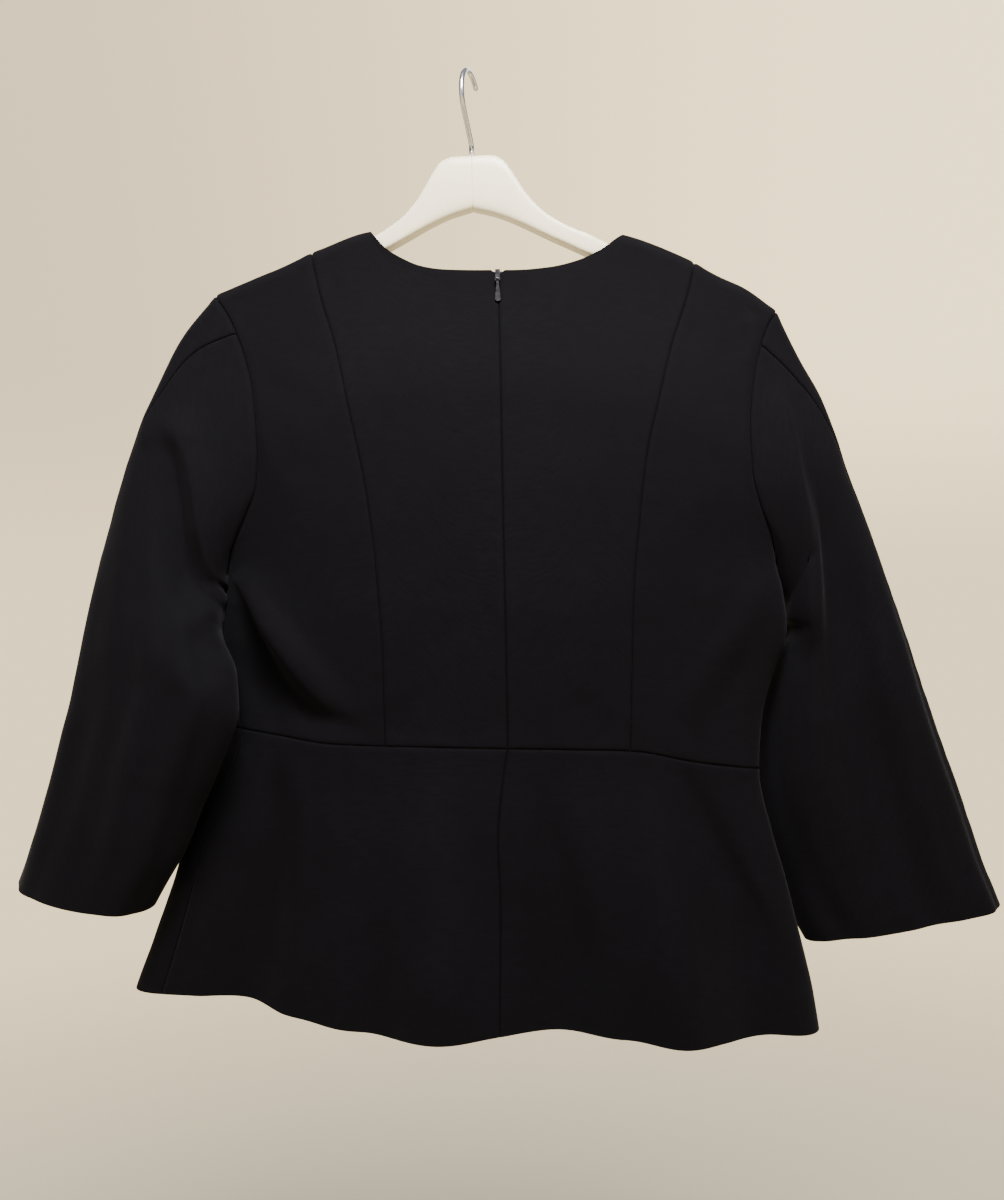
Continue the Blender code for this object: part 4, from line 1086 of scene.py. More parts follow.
def add_shell(name, outside, inside, finish):
    """A closed mesh between two grids, riding with the garment in place of its solid."""
    rows, columns = outside.shape[:2]
    layer = rows * columns
    index = np.arange(layer).reshape(rows, columns)
    a, b = index[:-1, :-1].ravel(), index[:-1, 1:].ravel()
    c, d = index[1:, 1:].ravel(), index[1:, :-1].ravel()
    rim = np.concatenate([index[0, :-1], index[:-1, -1], index[-1, :0:-1], index[:0:-1, 0]])
    after = np.roll(rim, -1)
    faces = np.concatenate(
        [
            np.stack([a, b, c, d], axis=1),
            np.stack([a, d, c, b], axis=1) + layer,
            np.stack([after, rim, rim + layer, after + layer], axis=1),
        ]
    )
    points = np.concatenate([outside.reshape(-1, 3), inside.reshape(-1, 3)])
    made = add_mesh(name, points, faces.tolist(), finish)
    lengths = edge_distances(outside)
    width, height = lengths["left"].ravel(), lengths["top"].ravel()
    layer_map = made.data.uv_layers.new(name="cloth")
    flat = np.stack([np.tile(width, 2), np.tile(height, 2)], axis=1) * MM
    corners = np.zeros(len(made.data.loops), int)
    made.data.loops.foreach_get("vertex_index", corners)
    layer_map.data.foreach_set("uv", flat[corners].ravel())
    return made


def placed(name, data):
    """A new object of the scene."""
    made = bpy.data.objects.new(name, data)
    bpy.context.scene.collection.objects.link(made)
    return made


def add_mesh(name, points, faces, finish):
    """A closed smooth object that faces out, from points in millimetres, and rides with the garment."""
    mesh = bpy.data.meshes.new(name)
    mesh.from_pydata((np.asarray(points, float) * MM).tolist(), [], faces)
    work = bmesh.new()
    work.from_mesh(mesh)
    bmesh.ops.recalc_face_normals(work, faces=work.faces[:])
    work.to_mesh(mesh)
    work.free()
    mesh.materials.append(finish)
    mesh.shade_smooth()
    made = placed(name, mesh)
    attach(made, GARMENT)
    return made


def new_material(name, colour, roughness, metallic=0.0):
    """A node material and its tree, to be finished with its own detail."""
    made = bpy.data.materials.new(name)
    made.use_nodes = True
    shader = made.node_tree.nodes["Principled BSDF"]
    shader.inputs["Base Color"].default_value = (*colour, 1.0)
    shader.inputs["Roughness"].default_value = roughness
    shader.inputs["Metallic"].default_value = metallic
    return made, made.node_tree, shader


def plug(tree, made, **inputs):
    """Sets or links the named inputs of a shader node."""
    for key, value in inputs.items():
        socket = made.inputs[key.replace("_", " ")]
        if isinstance(value, bpy.types.NodeSocket):
            tree.links.new(value, socket)
        else:
            socket.default_value = value


def node(tree, kind, settings=(), **inputs):
    """A shader node, with its properties and its named inputs set or linked."""
    made = tree.nodes.new(kind)
    for key, value in dict(settings).items():
        setattr(made, key, value)
    plug(tree, made, **inputs)
    return made


def mix_colour(tree, factor, first, second):
    """A colour that runs from the first to the second as the factor goes from 0 to 1."""
    made = node(tree, "ShaderNodeMix", {"data_type": "RGBA"}, Factor=factor)
    for name, colour in (("A", first), ("B", second)):
        plug(tree, made, **{name: (*colour, 1.0) if isinstance(colour, tuple) else colour})
    return made.outputs["Result"]


def mix_shaders(tree, share, first, second):
    both = node(tree, "ShaderNodeMixShader")
    for socket, source in zip(both.inputs, (share, first, second)):
        tree.links.new(source, socket)
    return both.outputs[0]


def object_place(tree):
    return node(tree, "ShaderNodeTexCoord").outputs["Object"]


def stretched(tree, source, scale):
    return node(tree, "ShaderNodeMapping", Vector=source, Scale=scale).outputs["Vector"]


def noise(tree, place, scale, detail):
    return node(tree, "ShaderNodeTexNoise", Vector=place, Scale=scale, Detail=detail).outputs["Fac"]


def spread(tree, value, low, high):
    """A value mapped from 0..1 to low..high."""
    return node(tree, "ShaderNodeMapRange", Value=value, To_Min=low, To_Max=high).outputs["Result"]


def soft_step(tree, value, low, high):
    """0 below low and 1 above high, with level ends."""
    soft = {"interpolation_type": "SMOOTHSTEP"}
    return node(tree, "ShaderNodeMapRange", soft, Value=value, From_Min=low, From_Max=high).outputs["Result"]


def bump(tree, height, strength, distance, under=None):
    made = node(tree, "ShaderNodeBump", Height=height, Strength=strength, Distance=distance)
    if under is not None:
        tree.links.new(under, made.inputs["Normal"])
    return made.outputs["Normal"]


def cloth_material():
    """Near-black crepe: a fine pebbled weave, with a soft bloom where the light grazes it, and painted shade
    darkening the groove of each seam.
    """
    made, tree, shader = new_material("black crepe", CLOTH_COLOUR, 0.86)
    plug(tree, shader, Sheen_Weight=CLOTH_SHEEN, Sheen_Roughness=0.45, Sheen_Tint=(0.9, 0.88, 1.0, 1.0))
    plug(tree, shader, Specular_IOR_Level=0.05)
    flat = node(tree, "ShaderNodeUVMap", {"uv_map": "cloth"}).outputs["UV"]
    grains = node(tree, "ShaderNodeTexVoronoi", Vector=stretched(tree, flat, (1900, 1500, 1)), Scale=1.0)
    threads = node(
        tree,
        "ShaderNodeTexWave",
        {"bands_direction": "DIAGONAL"},
        Vector=stretched(tree, flat, (900, 700, 1)),
        Scale=0.55,
        Distortion=3.0,
        Detail=2.0,
    )
    slubs = noise(tree, stretched(tree, flat, (90, 420, 1)), 1.0, 3.0)
    bloom = noise(tree, object_place(tree), 16.0, 4.0)
    fine = bump(tree, grains.outputs["Distance"], 0.35, 0.0002)
    woven = bump(tree, threads.outputs["Fac"], 0.25, 0.0002, fine)
    tone = node(tree, "ShaderNodeMath", {"operation": "MULTIPLY"})
    tree.links.new(slubs, tone.inputs[0])
    tree.links.new(bloom, tone.inputs[1])
    plain = mix_colour(tree, spread(tree, tone.outputs["Value"], -0.4, 2.6), CLOTH_DARK, CLOTH_LIGHT)
    # Painted shade: the seam attribute darkens the cloth towards the seam shade colour in each seam's groove
    seam = node(tree, "ShaderNodeAttribute", {"attribute_name": "seam"}).outputs["Fac"]
    plug(
        tree,
        shader,
        Base_Color=mix_colour(tree, seam, plain, CLOTH_SEAM_SHADE),
        Roughness=spread(tree, bloom, 0.78, 0.94),
        Normal=bump(tree, slubs, 0.22, 0.0004, woven),
    )
    return made


def tape_material():
    """Zip tape: a flat woven ribbon with a close rib across it."""
    made, tree, shader = new_material("zip tape weave", (0.011, 0.010, 0.012), 0.8)
    place = object_place(tree)
    across = {"bands_direction": "Z"}
    ribs = node(tree, "ShaderNodeTexWave", across, Vector=place, Scale=520.0, Distortion=0.4)
    mottle = noise(tree, place, 140.0, 3.0)
    plug(
        tree,
        shader,
        Sheen_Weight=0.2,
        Base_Color=mix_colour(tree, mottle, (0.008, 0.0075, 0.009), (0.016, 0.015, 0.018)),
        Normal=bump(tree, ribs.outputs["Fac"], 0.4, 0.0002),
    )
    return made


def wood_material():
    """Cream painted wood: the grain telegraphs faintly through satin paint, duller where handled."""
    made, tree, shader = new_material("cream painted wood", PAINT_COLOUR, 0.38)
    place = object_place(tree)
    grain = noise(tree, stretched(tree, place, (18, 240, 240)), 1.0, 5.0)
    brushed = noise(tree, stretched(tree, place, (60, 500, 500)), 1.0, 2.0)
    cloud = noise(tree, place, 22.0, 3.0)
    soft = bump(tree, grain, 0.10, 0.0006)
    plug(
        tree,
        shader,
        Coat_Weight=0.25,
        Coat_Roughness=0.2,
        Base_Color=mix_colour(tree, cloud, PAINT_SHADED, PAINT_CLEAN),
        Roughness=spread(tree, cloud, 0.3, 0.5),
        Normal=bump(tree, brushed, 0.06, 0.0002, soft),
    )
    return made


def steel_material():
    """Bright drawn wire with fine marks along it."""
    made, tree, shader = new_material("bright steel wire", (0.62, 0.62, 0.63), 0.24, 1.0)
    marks = noise(tree, stretched(tree, object_place(tree), (1500, 1500, 160)), 1.0, 3.0)
    plug(tree, shader, Roughness=spread(tree, marks, 0.16, 0.36), Normal=bump(tree, marks, 0.08, 0.0001))
    return made


def dark_metal_material():
    """Blackened cast metal, rubbed a little brighter in places."""
    made, tree, shader = new_material("blackened metal", (0.022, 0.021, 0.025), 0.36, 1.0)
    worn = noise(tree, object_place(tree), 420.0, 4.0)
    plug(
        tree,
        shader,
        Base_Color=mix_colour(tree, worn, (0.012, 0.012, 0.015), (0.06, 0.058, 0.064)),
        Roughness=spread(tree, worn, 0.28, 0.5),
        Normal=bump(tree, worn, 0.12, 0.0001),
    )
    return made


FINISHES = {
    "cloth": cloth_material(),
    "zip_tape": tape_material(),
    "painted_wood": wood_material(),
    "steel_wire": steel_material(),
    "dark_metal": dark_metal_material(),
}


def grid_steps(count, per, unit):
    """Grid coordinates from 0 to count, evenly spaced, with close steps beside both ends."""
    near = np.array((0.0, *EDGE_STEPS)) / unit
    inner = np.arange(1, count * per) / per
    free = near[-1] * EDGE_FREE
    inner = inner[(inner > free) & (inner < count - free)]
    return np.concatenate([near, inner, count - near[::-1]])


def side_boundary(side, face, rows):
    """(angle, z) down the armhole and then the side seam, to the waist, at row coordinates."""
    turn = np.minimum(rows / ARMHOLE_ROWS, 1) * 180
    angle, z = armhole(side, turn if face == "back" else -turn)
    foot = armhole_span[side][1]
    waist_z = float(on_line(side_seam_angle(side, WAIST_HEIGHT), waist_height)[1])
    down = foot + (waist_z - foot) * (rows - ARMHOLE_ROWS) / SIDE_ROWS
    seam = side_seam_angle(side, down)
    if face == "front":
        angle = np.where(rows == 0, 2 * np.pi - angle, angle)
        angle = np.where(rows == ARMHOLE_ROWS, 2 * np.pi if side == "left" else np.pi, angle)
        seam = seam + (2 * np.pi if side == "left" else 0)
    below = rows > ARMHOLE_ROWS
    boundary = np.stack([np.where(below, seam, angle), np.where(below, down, z)], axis=-1)
    boundary[-1, 1] = float(on_line(boundary[-1, 0], waist_height)[1])
    return boundary


def row_shares(*boundaries):
    """How far down each row lies, from 0 to 1, as the mean of some boundaries."""
    shares = [(b[:, 1] - b[0, 1]) / (b[-1, 1] - b[0, 1]) for b in boundaries]
    return np.mean(shares, axis=0)


def on_face(x, z, face):
    """(angle, z) of places on the body's back or front."""
    angle = body_angle(x, z)
    return np.stack([angle if face == "back" else 2 * np.pi - angle, z], axis=-1)


def seam_rows(seam, top, foot, shares):
    z = between(top, foot, shares)
    return on_face(seam(z), z, "back")


def ridge_columns(x0, x1, t, face):
    """(angle, z) along the shoulder ridge, at shares of the way."""
    x = between(x0, x1, t)
    return on_face(x, ridge(x), face)


def waist_columns(start_angle, end_angle, t):
    return on_line(between(start_angle, end_angle, t), waist_height)


def patch(top, foot, left, right, across):
    """A grid of (angle, z) filled in between its four edges."""
    across = across[None, :, None]
    down = row_shares(left, right)[:, None, None]
    ruled = (1 - down) * top[None] + down * foot[None]
    sides = (1 - across) * left[:, None] + across * right[:, None]
    corners = (1 - down) * ((1 - across) * top[0] + across * top[-1])
    corners = corners + down * ((1 - across) * foot[0] + across * foot[-1])
    return ruled + sides - corners


def neck_line(x):
    """The back neckline with the small notch at the head of the zip."""
    off = np.abs(x - centre_back(ZIP_HEAD_HEIGHT)) / NOTCH_HALF_WIDTH
    return neck_height(x) - NOTCH_DEPTH * np.clip(1 - off, 0, 1)


def neck_columns(side, columns):
    """(angle, z) along half of the back neckline, at column coordinates from the neck point."""
    centre = float(centre_back(ZIP_HEAD_HEIGHT))
    notch = centre - INWARDS[side] * NOTCH_HALF_WIDTH
    curved = NECK_COLUMNS - 1
    x = between(NECK_X[side], notch, np.clip(columns / curved, 0, 1) ** NECK_CROWDING)
    x = x + (centre - notch) * np.clip(columns - curved, 0, 1)
    return on_face(x, neck_line(x), "back")


def front_neck_columns(columns):
    """(angle, z) along the plain round front neckline, from left to right."""
    left, right = NECK_X["left"], NECK_X["right"]
    turn = np.pi * (1 - np.cos(np.pi * columns / FRONT_NECK_COLUMNS)) / 2
    x = (left + right) / 2 - (right - left) / 2 * np.cos(turn)
    chord = ridge(left) + (ridge(right) - ridge(left)) * (1 - np.cos(turn)) / 2
    return on_face(x, chord - FRONT_NECK_DROP * np.abs(np.sin(turn)) ** FRONT_NECK_POWER, "front")


def joined(columns, *parts):
    """One edge made of several, each given as (columns it spans, its function of them)."""
    found = np.zeros((len(columns), 2))
    start = 0
    for span, part in parts:
        here = (columns >= start) & (columns <= start + span)
        found[here] = part(columns[here] - start)
        start += span
    return found


def body_panel(name, grid, edges, face, rows, armholes, calm, turning=0.0):
    """A panel of the body with its creases, calmed beside the edges that other creases meet.

    armholes are the panel's edges on an armhole, each as its column, side and way round.
    """
    angle, z = grid[..., 0], grid[..., 1]
    points = body_point(angle, z)
    normals = body_normals(angle, z)
    distance = edge_distances(points)
    for column, side, sign in armholes:
        upper = rows <= ARMHOLE_ROWS
        beside = distance["left" if column == 0 else "right"][upper]
        meeting = mixed_normal(side, rows[upper] / ARMHOLE_ROWS * 180 * sign)[:, None]
        normals[upper] = blend_normals(normals[upper], meeting, beside)
    creases, drapes, shift = BODY_CREASES[face]
    x, z = points[..., 0], points[..., 2]
    push = crease_push(creases, x, z) + drape_push(drapes, x, z)
    push = push + wander(x + shift, z)
    for side in calm:
        push = push * smooth(distance[side] / CALM_WIDTH)
    dress(name, points, normals, edges, push, turning)


def bodice():
    """The four back panels and the front, and where the peplum's pieces start and end."""
    rows = grid_steps(ARMHOLE_ROWS + SIDE_ROWS, ROW_STEPS, ROW_LENGTH)
    outlines = {side: side_boundary(side, "back", rows) for side in SIDES}
    centre_foot = seam_foot(centre_back, waist_height)
    centre_top = float(neck_line(float(centre_back(ZIP_HEAD_HEIGHT))))
    centre_rows = seam_rows(centre_back, centre_top, centre_foot, row_shares(*outlines.values()))
    tips = {side: armhole_x[side](armhole_span[side][0]) for side in SIDES}
    spans = {}
    for side in SIDES:
        outline = outlines[side]
        top_x = PRINCESS_TOP[side]
        foot = seam_foot(princess[side], waist_height)
        seam = seam_rows(princess[side], float(ridge(top_x)), foot, row_shares(outline))

        columns = grid_steps(SIDE_COLUMNS, COLUMN_STEPS, SIDE_COLUMN_WIDTH)
        t = columns / SIDE_COLUMNS
        top = ridge_columns(tips[side], top_x, t, "back")
        grid = patch(top, waist_columns(outline[-1, 0], seam[-1, 0], t), outline, seam, t)
        armholes = [(0, side, 1)]
        body_panel(f"back_side_{side}", grid, SEWN, "back", rows, armholes, ("top", "left"))

        count = SHOULDER_COLUMNS + NECK_COLUMNS
        columns = grid_steps(count, COLUMN_STEPS, CENTRE_COLUMN_WIDTH)
        columns = np.unique(np.append(columns, [SHOULDER_COLUMNS, count - 1]))
        top = joined(
            columns,
            (SHOULDER_COLUMNS, lambda c: ridge_columns(top_x, NECK_X[side], c / SHOULDER_COLUMNS, "back")),
            (NECK_COLUMNS, lambda c: neck_columns(side, c)),
        )
        t = columns / count
        grid = patch(top, waist_columns(seam[-1, 0], centre_rows[-1, 0], t), seam, centre_rows, t)
        turning = np.where(columns > SHOULDER_COLUMNS, NECK_TURNING, -1.0)
        body_panel(f"back_centre_{side}", grid, FOLDED_TOP, "back", rows, (), ("top",), turning)
        spans[side] = (outline[-1, 0], centre_rows[-1, 0])

    left, right = (side_boundary(side, "front", rows) for side in SIDES)
    neck_start = SIDE_COLUMNS + SHOULDER_COLUMNS
    count = 2 * neck_start + FRONT_NECK_COLUMNS
    columns = grid_steps(count, COLUMN_STEPS, FRONT_COLUMN_WIDTH)
    columns = np.unique(np.append(columns, [neck_start, count - neck_start]))
    parts = (
        (SIDE_COLUMNS, tips["left"], PRINCESS_TOP["left"]),
        (SHOULDER_COLUMNS, PRINCESS_TOP["left"], NECK_X["left"]),
        (SHOULDER_COLUMNS, NECK_X["right"], PRINCESS_TOP["right"]),
        (SIDE_COLUMNS, PRINCESS_TOP["right"], tips["right"]),
    )
    shoulders = [
        (span, lambda c, n=span, a=x0, b=x1: ridge_columns(a, b, c / n, "front")) for span, x0, x1 in parts
    ]
    neck = (FRONT_NECK_COLUMNS, front_neck_columns)
    t = columns / count
    top = joined(columns, *shoulders[:2], neck, *shoulders[2:])
    grid = patch(top, waist_columns(left[-1, 0], right[-1, 0], t), left, right, t)
    armholes = [(0, "left", -1), (-1, "right", -1)]
    turning = np.where(np.abs(columns - count / 2) < count / 2 - neck_start, NECK_TURNING, -1.0)
    calm = ("top", "left", "right")
    body_panel("front_bodice", grid, FOLDED_TOP, "front", rows, armholes, calm, turning)
    spans["front"] = (left[-1, 0], right[-1, 0])
    return spans


def peplum_piece(name, waist_span, hem_span, face, calm, width):
    """A flared strip from the waist to the hem, with a turned hem."""
    count = max(1, round(width / PEPLUM_STEP))
    t = grid_steps(1, count, width)
    rows = grid_steps(1, PEPLUM_ROWS * PEPLUM_STEPS, PEPLUM_LENGTH)
    top = waist_columns(*waist_span, t)
    share = (top[:, 0] - top[0, 0]) / (top[-1, 0] - top[0, 0])
    foot = on_line(between(*hem_span, share), hem_height)
    down = rows[:, None, None]
    grid = (1 - down) * top + down * foot
    body_panel(name, grid, FOLDED_FOOT, face, rows, (), calm, HEM_TURNING)


def hem_angle(side, offset=0.0):
    """The angle where a side seam meets the hem."""
    return float(side_seam_angle(side, HEM_HEIGHT)) + offset


def peplum(spans):
    centre_hem = seam_foot(centre_back, hem_height)
    centre = float(body_angle(centre_back(centre_hem), centre_hem))
    for side in SIDES:
        hem_span = (hem_angle(side), centre)
        peplum_piece(f"peplum_back_{side}", spans[side], hem_span, "back", ("left",), PEPLUM_BACK_WIDTH)
    hem_span = (hem_angle("left", 2 * np.pi), hem_angle("right"))
    peplum_piece("peplum_front", spans["front"], hem_span, "front", ("left", "right"), PEPLUM_FRONT_WIDTH)


def sleeve_piece(name, side, end):
    """One piece of a two-piece sleeve, round it from the back seam to the front seam at end."""
    rows = grid_steps(SLEEVE_ROWS, SLEEVE_STEPS, SLEEVE_ROW_LENGTH)
    s = (rows[:, None] / SLEEVE_ROWS) ** ROW_CROWDING
    start = seam_angle(s)
    columns = grid_steps(SLEEVE_COLUMNS, ROUND_STEPS, SLEEVE_COLUMN_WIDTH)
    turn = start + (end - start) * columns[None] / SLEEVE_COLUMNS
    s = np.broadcast_to(s, turn.shape)
    points = sleeve_point(side, s, turn)
    normals = sleeve_normals(side, s, turn)
    distance = edge_distances(points)
    normals = blend_normals(normals, mixed_normal(side, turn[0])[None], distance["top"])
    x, z = points[..., 0], points[..., 2]
    facing = np.sin(np.radians(turn))
    back, front, drapes, swells = SLEEVE_CREASES[side]
    seen_behind, seen_before = smooth(FACING_STEP * facing + 0.25), smooth(0.25 - FACING_STEP * facing)
    push = (crease_push(back, x, z) + drape_push(drapes, x, z)) * seen_behind
    push = push + crease_push(front, x, z) * seen_before
    push = push + swell_push(swells, x, z)
    push = push + wander(x + SLEEVE_SHIFT * (facing < 0), z) * np.abs(facing) ** 0.3
    push = push * smooth(distance["top"] / SLEEVE_CALM_WIDTH)
    dress(name, points, normals, FOLDED_FOOT, push, HEM_TURNING)


def sleeves():
    """An under sleeve, over the back and the inner side, and a top sleeve over the rest."""
    for side in SIDES:
        sleeve_piece(f"sleeve_under_{side}", side, FRONT_SEAM)
        sleeve_piece(f"sleeve_top_{side}", side, FRONT_SEAM - 360)


def stands_for(made, node_name=None):
    """Hides the solid that a piece takes the place of, when one is named."""
    if node_name is not None:
        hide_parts(node_name)
    return made


def loft_faces(rings, count):
    """Quads between rings of equally many points, and a cap at each end."""
    faces = []
    for i in range(rings - 1):
        for j in range(count):
            k = (j + 1) % count
            faces.append((i * count + j, i * count + k, (i + 1) * count + k, (i + 1) * count + j))
    faces.append(tuple(range(count)))
    faces.append(tuple((rings - 1) * count + j for j in range(count)))
    return faces


def squared(wave, power):
    """A wave that is fuller the lower its power."""
    return np.sign(wave) * np.abs(wave) ** power


def hanger():
    """Hub and arms as one painted bar, slimmer and rounder inside the shoulders than outside."""
    top, foot = curve(HANGER_TOP, "x", "z"), curve(HANGER_FOOT, "x", "z")
    tip_start = HANGER_HALF - HANGER_TIP
    tip = HANGER_HALF - HANGER_TIP * (1 - np.sin(np.linspace(0.08, 1, TIP_STATIONS) * np.pi / 2))
    half = np.concatenate([JOINT_STATIONS, np.linspace(2, tip_start, ARM_STATIONS), tip])
    stations = np.concatenate([-half[:0:-1], half])
    turn = np.linspace(0, 2 * np.pi, HANGER_SIDES, endpoint=False)
    rings = []
    for x in stations:
        high, low = float(top(abs(x))), float(foot(abs(x)))
        into_tip = max(0.0, abs(x) - tip_start) / (HANGER_TIP + 0.02)
        end = math.sqrt(max(0.0, 1 - into_tip**2))
        hidden = min(1.0, max(0.0, (abs(x) - HANGER_BARE) / HANGER_BLEND))
        slim = (1 - HANGER_SLIMMER * hidden) * (1 - JOINT_DEPTH * bell(x / JOINT_HALF))
        deep = slim * HANGER_HALF_THICKNESS * (TIP_THICKNESS + (1 - TIP_THICKNESS) * end)
        reach = slim * (high - low) / 2 * end
        power = between(HANGER_SQUARE, HANGER_ROUND, hidden)
        y = deep * squared(np.sin(turn), power)
        z = (high + low) / 2 + reach * squared(np.cos(turn), power)
        rings.append(np.stack([np.full(len(turn), x), y, z], axis=-1))
    points = np.concatenate(rings)
    made = add_mesh("painted_hanger", points, loft_faces(len(rings), HANGER_SIDES), FINISHES["painted_wood"])
    stands_for(made, "hanger")


def hook_path():
    """The wire's middle line: up the shaft, out to the front and back over the crook."""
    ring = CROOK_RADIUS + WIRE_RADIUS
    forward = np.array([-math.sin(CROOK_TURN), -math.cos(CROOK_TURN), 0.0])
    up = np.array([0.0, 0.0, 1.0])
    neck = np.array([0.0, 0.0, SHAFT_FOOT + SHAFT_STRAIGHT])
    turns = np.linspace(CROOK_START, CROOK_END, CROOK_STEPS)
    crook = [ring * (math.cos(t) * up + math.sin(t) * forward) - CROOK_RADIUS * up for t in turns]
    bend_in = crook[0]
    tangent = -(ring * (-math.sin(turns[0]) * up + math.cos(turns[0]) * forward)) * 0.5
    path = [np.array([0.0, 0.0, SHAFT_FOOT])]
    for t in np.linspace(0, 1, SHAFT_STEPS + 1)[:-1]:
        lift = SHAFT_STRAIGHT * up
        hermite = (1 + 2 * t) * (1 - t) ** 2 * neck + t**2 * (3 - 2 * t) * bend_in
        path.append(hermite + t * (1 - t) ** 2 * lift - t**2 * (1 - t) * tangent)
    return np.array(path + crook)


def hook():
    """Round wire with its free end rounded off."""
    path = hook_path()
    sideways = np.array([math.cos(CROOK_TURN), -math.sin(CROOK_TURN), 0.0])
    turn = np.linspace(0, 2 * np.pi, WIRE_SIDES, endpoint=False)
    rings = []
    for i, point in enumerate(path):
        along = path[min(i + 1, len(path) - 1)] - path[max(i - 1, 0)]
        if i == 0:
            along = np.array([0.0, 0.0, 1.0])
        along = along / np.linalg.norm(along)
        across = np.cross(along, sideways)
        across /= np.linalg.norm(across)
        flat = np.cross(across, along)
        ring = np.cos(turn)[:, None] * flat + np.sin(turn)[:, None] * across
        rings.append(point + WIRE_RADIUS * ring)
    for angle in np.linspace(0.2, 0.97, WIRE_END_RINGS) * np.pi / 2:
        middle = path[-1] + along * (math.sin(angle) - 0.2) * WIRE_RADIUS * 0.8
        rings.append(middle + WIRE_RADIUS * math.cos(angle) * ring)
    points = np.concatenate(rings)
    made = add_mesh("wire_hook", points, loft_faces(len(rings), WIRE_SIDES), FINISHES["steel_wire"])
    stands_for(made, "hook")


def zip_tapes():
    """A woven tape behind each edge of the centre-back seam."""
    rows = np.linspace(TAPE_TOP, TAPE_FOOT, TAPE_ROWS)[:, None]
    for side, inwards in INWARDS.items():
        columns = np.array(TAPE_COLUMNS)
        x = centre_back(rows) - inwards * columns[None]
        z = np.broadcast_to(rows, x.shape)
        angle = body_angle(x, z)
        normals = body_normals(angle, z)
        ribs = 0.05 * np.sin(columns * 2.1)[None, :, None]
        outside = body_point(angle, z) - normals * (ZIP_DEPTH - ribs)
        inside = outside - normals * TAPE_THICKNESS
        made = add_shell(f"cloth_zip_tape_{side}", outside, inside, FINISHES["zip_tape"])
        stands_for(made, f"zip_tape_{side}")


def zip_coil():
    """The closed coil: small rounded turns across the centre, leaning to each side by turns."""
    count = int((COIL_TOP - TAPE_FOOT - 4) / COIL_PITCH)
    turn = np.linspace(0, 2 * np.pi, COIL_SIDES, endpoint=False)
    across = np.stack([np.zeros(COIL_SIDES), np.cos(turn), np.sin(turn) * COIL_TALL], axis=-1)
    one_turn = loft_faces(len(COIL_SHAPE), COIL_SIDES)
    points, faces = [], []
    for i in range(count):
        z = COIL_TOP - i * COIL_PITCH
        middle_x = float(centre_back(z))
        angle = body_angle(middle_x, z)
        normal = body_normals(angle, z)
        base = body_point(angle, z) - normal * (ZIP_DEPTH + TAPE_THICKNESS + COIL_RADIUS * 0.9)
        lean = COIL_LEAN if i % 2 else -COIL_LEAN
        rings = []
        for t, share in COIL_SHAPE:
            middle = base + np.array([lean + t * COIL_HALF, 0, 0]) - normal * (1 - t * t) * COIL_ARCH
            rings.append(middle + COIL_RADIUS * share * across)
        start = i * len(COIL_SHAPE) * COIL_SIDES
        points.append(np.concatenate(rings))
        faces += [tuple(start + v for v in face) for face in one_turn]
    made = add_mesh("zip_coil", np.concatenate(points), faces, FINISHES["zip_tape"])
    stands_for(made)


def zip_metal():
    """The slider and the pull tab keep their solids, with rounded edges."""
    for name, width in METAL_EDGES.items():
        part = frame["nodes"][name]
        part.data.materials.clear()
        part.data.materials.append(FINISHES["dark_metal"])
        rounded = part.modifiers.new("Rounded edges", "BEVEL")
        rounded.width = width
        rounded.segments = METAL_SEGMENTS
        rounded.limit_method = "ANGLE"
        rounded.angle_limit = METAL_ANGLE
        rounded.harden_normals = True


def floor_material():
    """Pale floor paint that passes into the plain background with distance."""
    made, tree, shader = new_material("pale floor", FLOOR_COLOUR, 0.9)
    far = node(tree, "ShaderNodeVectorMath", {"operation": "LENGTH"}, Vector=object_place(tree))
    share = soft_step(tree, far.outputs["Value"], *FLOOR_FADE)
    # Painted light: far off, the floor glows with the backdrop's low colour instead of being lit
    glow = node(tree, "ShaderNodeEmission", Color=(*BACKGROUND_LOW, 1.0), Strength=1.0)
    both = mix_shaders(tree, share, shader.outputs[0], glow.outputs[0])
    plug(tree, tree.nodes["Material Output"], Surface=both)
    return made


def floor():
    """A plain pale disc below the garment."""
    turn = np.linspace(0, 2 * np.pi, FLOOR_SIDES, endpoint=False)
    points = [(0.0, 0.0, 0.0)]
    for radius in FLOOR_RINGS:
        points += [(radius * math.cos(t), radius * math.sin(t), 0.0) for t in turn]
    faces = []
    for j in range(FLOOR_SIDES):
        near, far = 1 + j, 1 + (j + 1) % FLOOR_SIDES
        faces.append((0, near, far))
        for i in range(len(FLOOR_RINGS) - 1):
            inner, outer = i * FLOOR_SIDES, (i + 1) * FLOOR_SIDES
            faces.append((inner + near, outer + near, outer + far, inner + far))
    mesh = bpy.data.meshes.new("floor")
    mesh.from_pydata(points, [], faces)
    mesh.materials.append(floor_material())
    made = placed("floor", mesh)
    made.location = (0, 0, FLOOR_HEIGHT)


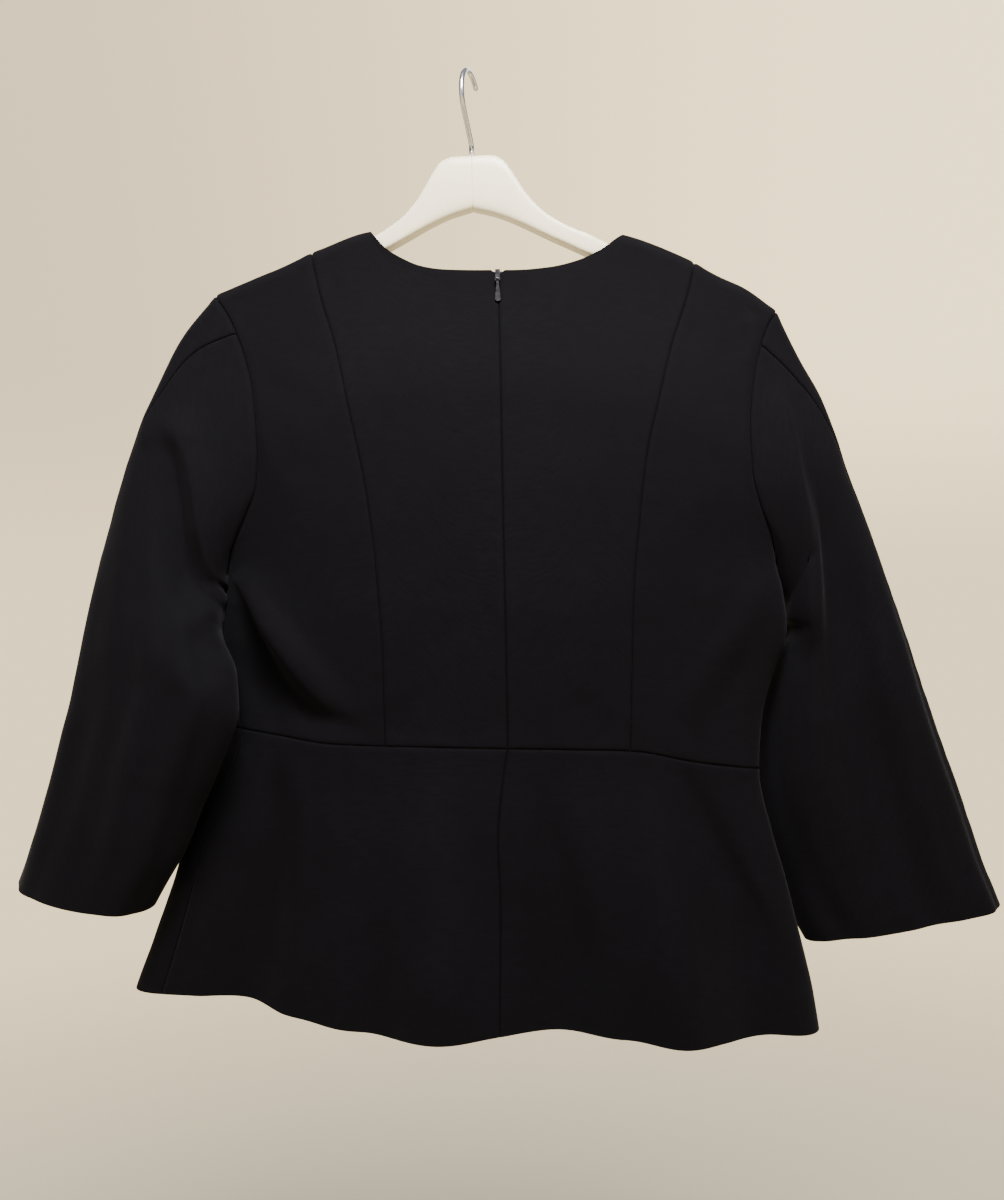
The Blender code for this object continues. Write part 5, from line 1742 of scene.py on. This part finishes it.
def world():
    """A warm backdrop for the camera, painted darker on the left and lighter on the right as light falling
    across a wall, and a softer light for the object.
    """
    made = bpy.data.worlds.new("backdrop")
    made.use_nodes = True
    tree = made.node_tree
    tree.nodes.clear()
    place = node(tree, "ShaderNodeTexCoord").outputs["Generated"]
    axes = node(tree, "ShaderNodeSeparateXYZ", Vector=place).outputs
    across = soft_step(tree, axes["X"], *BACKGROUND_ACROSS)
    upper = mix_colour(tree, across, BACKGROUND_LEFT, BACKGROUND_RIGHT)
    seen = mix_colour(tree, soft_step(tree, axes["Z"], *BACKGROUND_UP), BACKGROUND_LOW, upper)
    backdrop = node(tree, "ShaderNodeBackground", Color=seen, Strength=1.0)
    ambient = node(tree, "ShaderNodeBackground", Color=(*AMBIENT_COLOUR, 1.0), Strength=AMBIENT_STRENGTH)
    direct = node(tree, "ShaderNodeLightPath").outputs["Is Camera Ray"]
    both = mix_shaders(tree, direct, ambient.outputs[0], backdrop.outputs[0])
    node(tree, "ShaderNodeOutputWorld", Surface=both)
    bpy.context.scene.world = made


def area_light(name, place, target, size, power, colour):
    data = bpy.data.lights.new(name, "AREA")
    data.shape = "RECTANGLE"
    data.size, data.size_y = size
    data.energy = power
    data.color = colour
    made = placed(name, data)
    made.location = place
    made.rotation_euler = (Vector(target) - Vector(place)).to_track_quat("-Z", "Y").to_euler()


def camera():
    """A level view of the back, turned a little to the left and rolled a little."""
    view = Vector((-math.sin(CAMERA_YAW), math.cos(CAMERA_YAW), 0))
    across = Vector((math.cos(CAMERA_YAW), math.sin(CAMERA_YAW), 0))
    up = Vector((0, 0, 1))
    right = math.cos(CAMERA_ROLL) * across - math.sin(CAMERA_ROLL) * up
    top = math.sin(CAMERA_ROLL) * across + math.cos(CAMERA_ROLL) * up
    data = bpy.data.cameras.new("camera")
    data.lens = CAMERA_LENS
    data.sensor_width = CAMERA_SENSOR
    data.sensor_fit = "AUTO"
    data.clip_start, data.clip_end = CAMERA_RANGE
    made = placed("camera", data)
    turn = Matrix((right, top, -view)).transposed().to_4x4()
    made.matrix_world = Matrix.Translation(CAMERA_PLACE) @ turn
    bpy.context.scene.camera = made


spans = bodice()
peplum(spans)
sleeves()
hanger()
hook()
zip_tapes()
zip_coil()
zip_metal()
floor()
world()
for light in LIGHTS:
    area_light(*light)
camera()
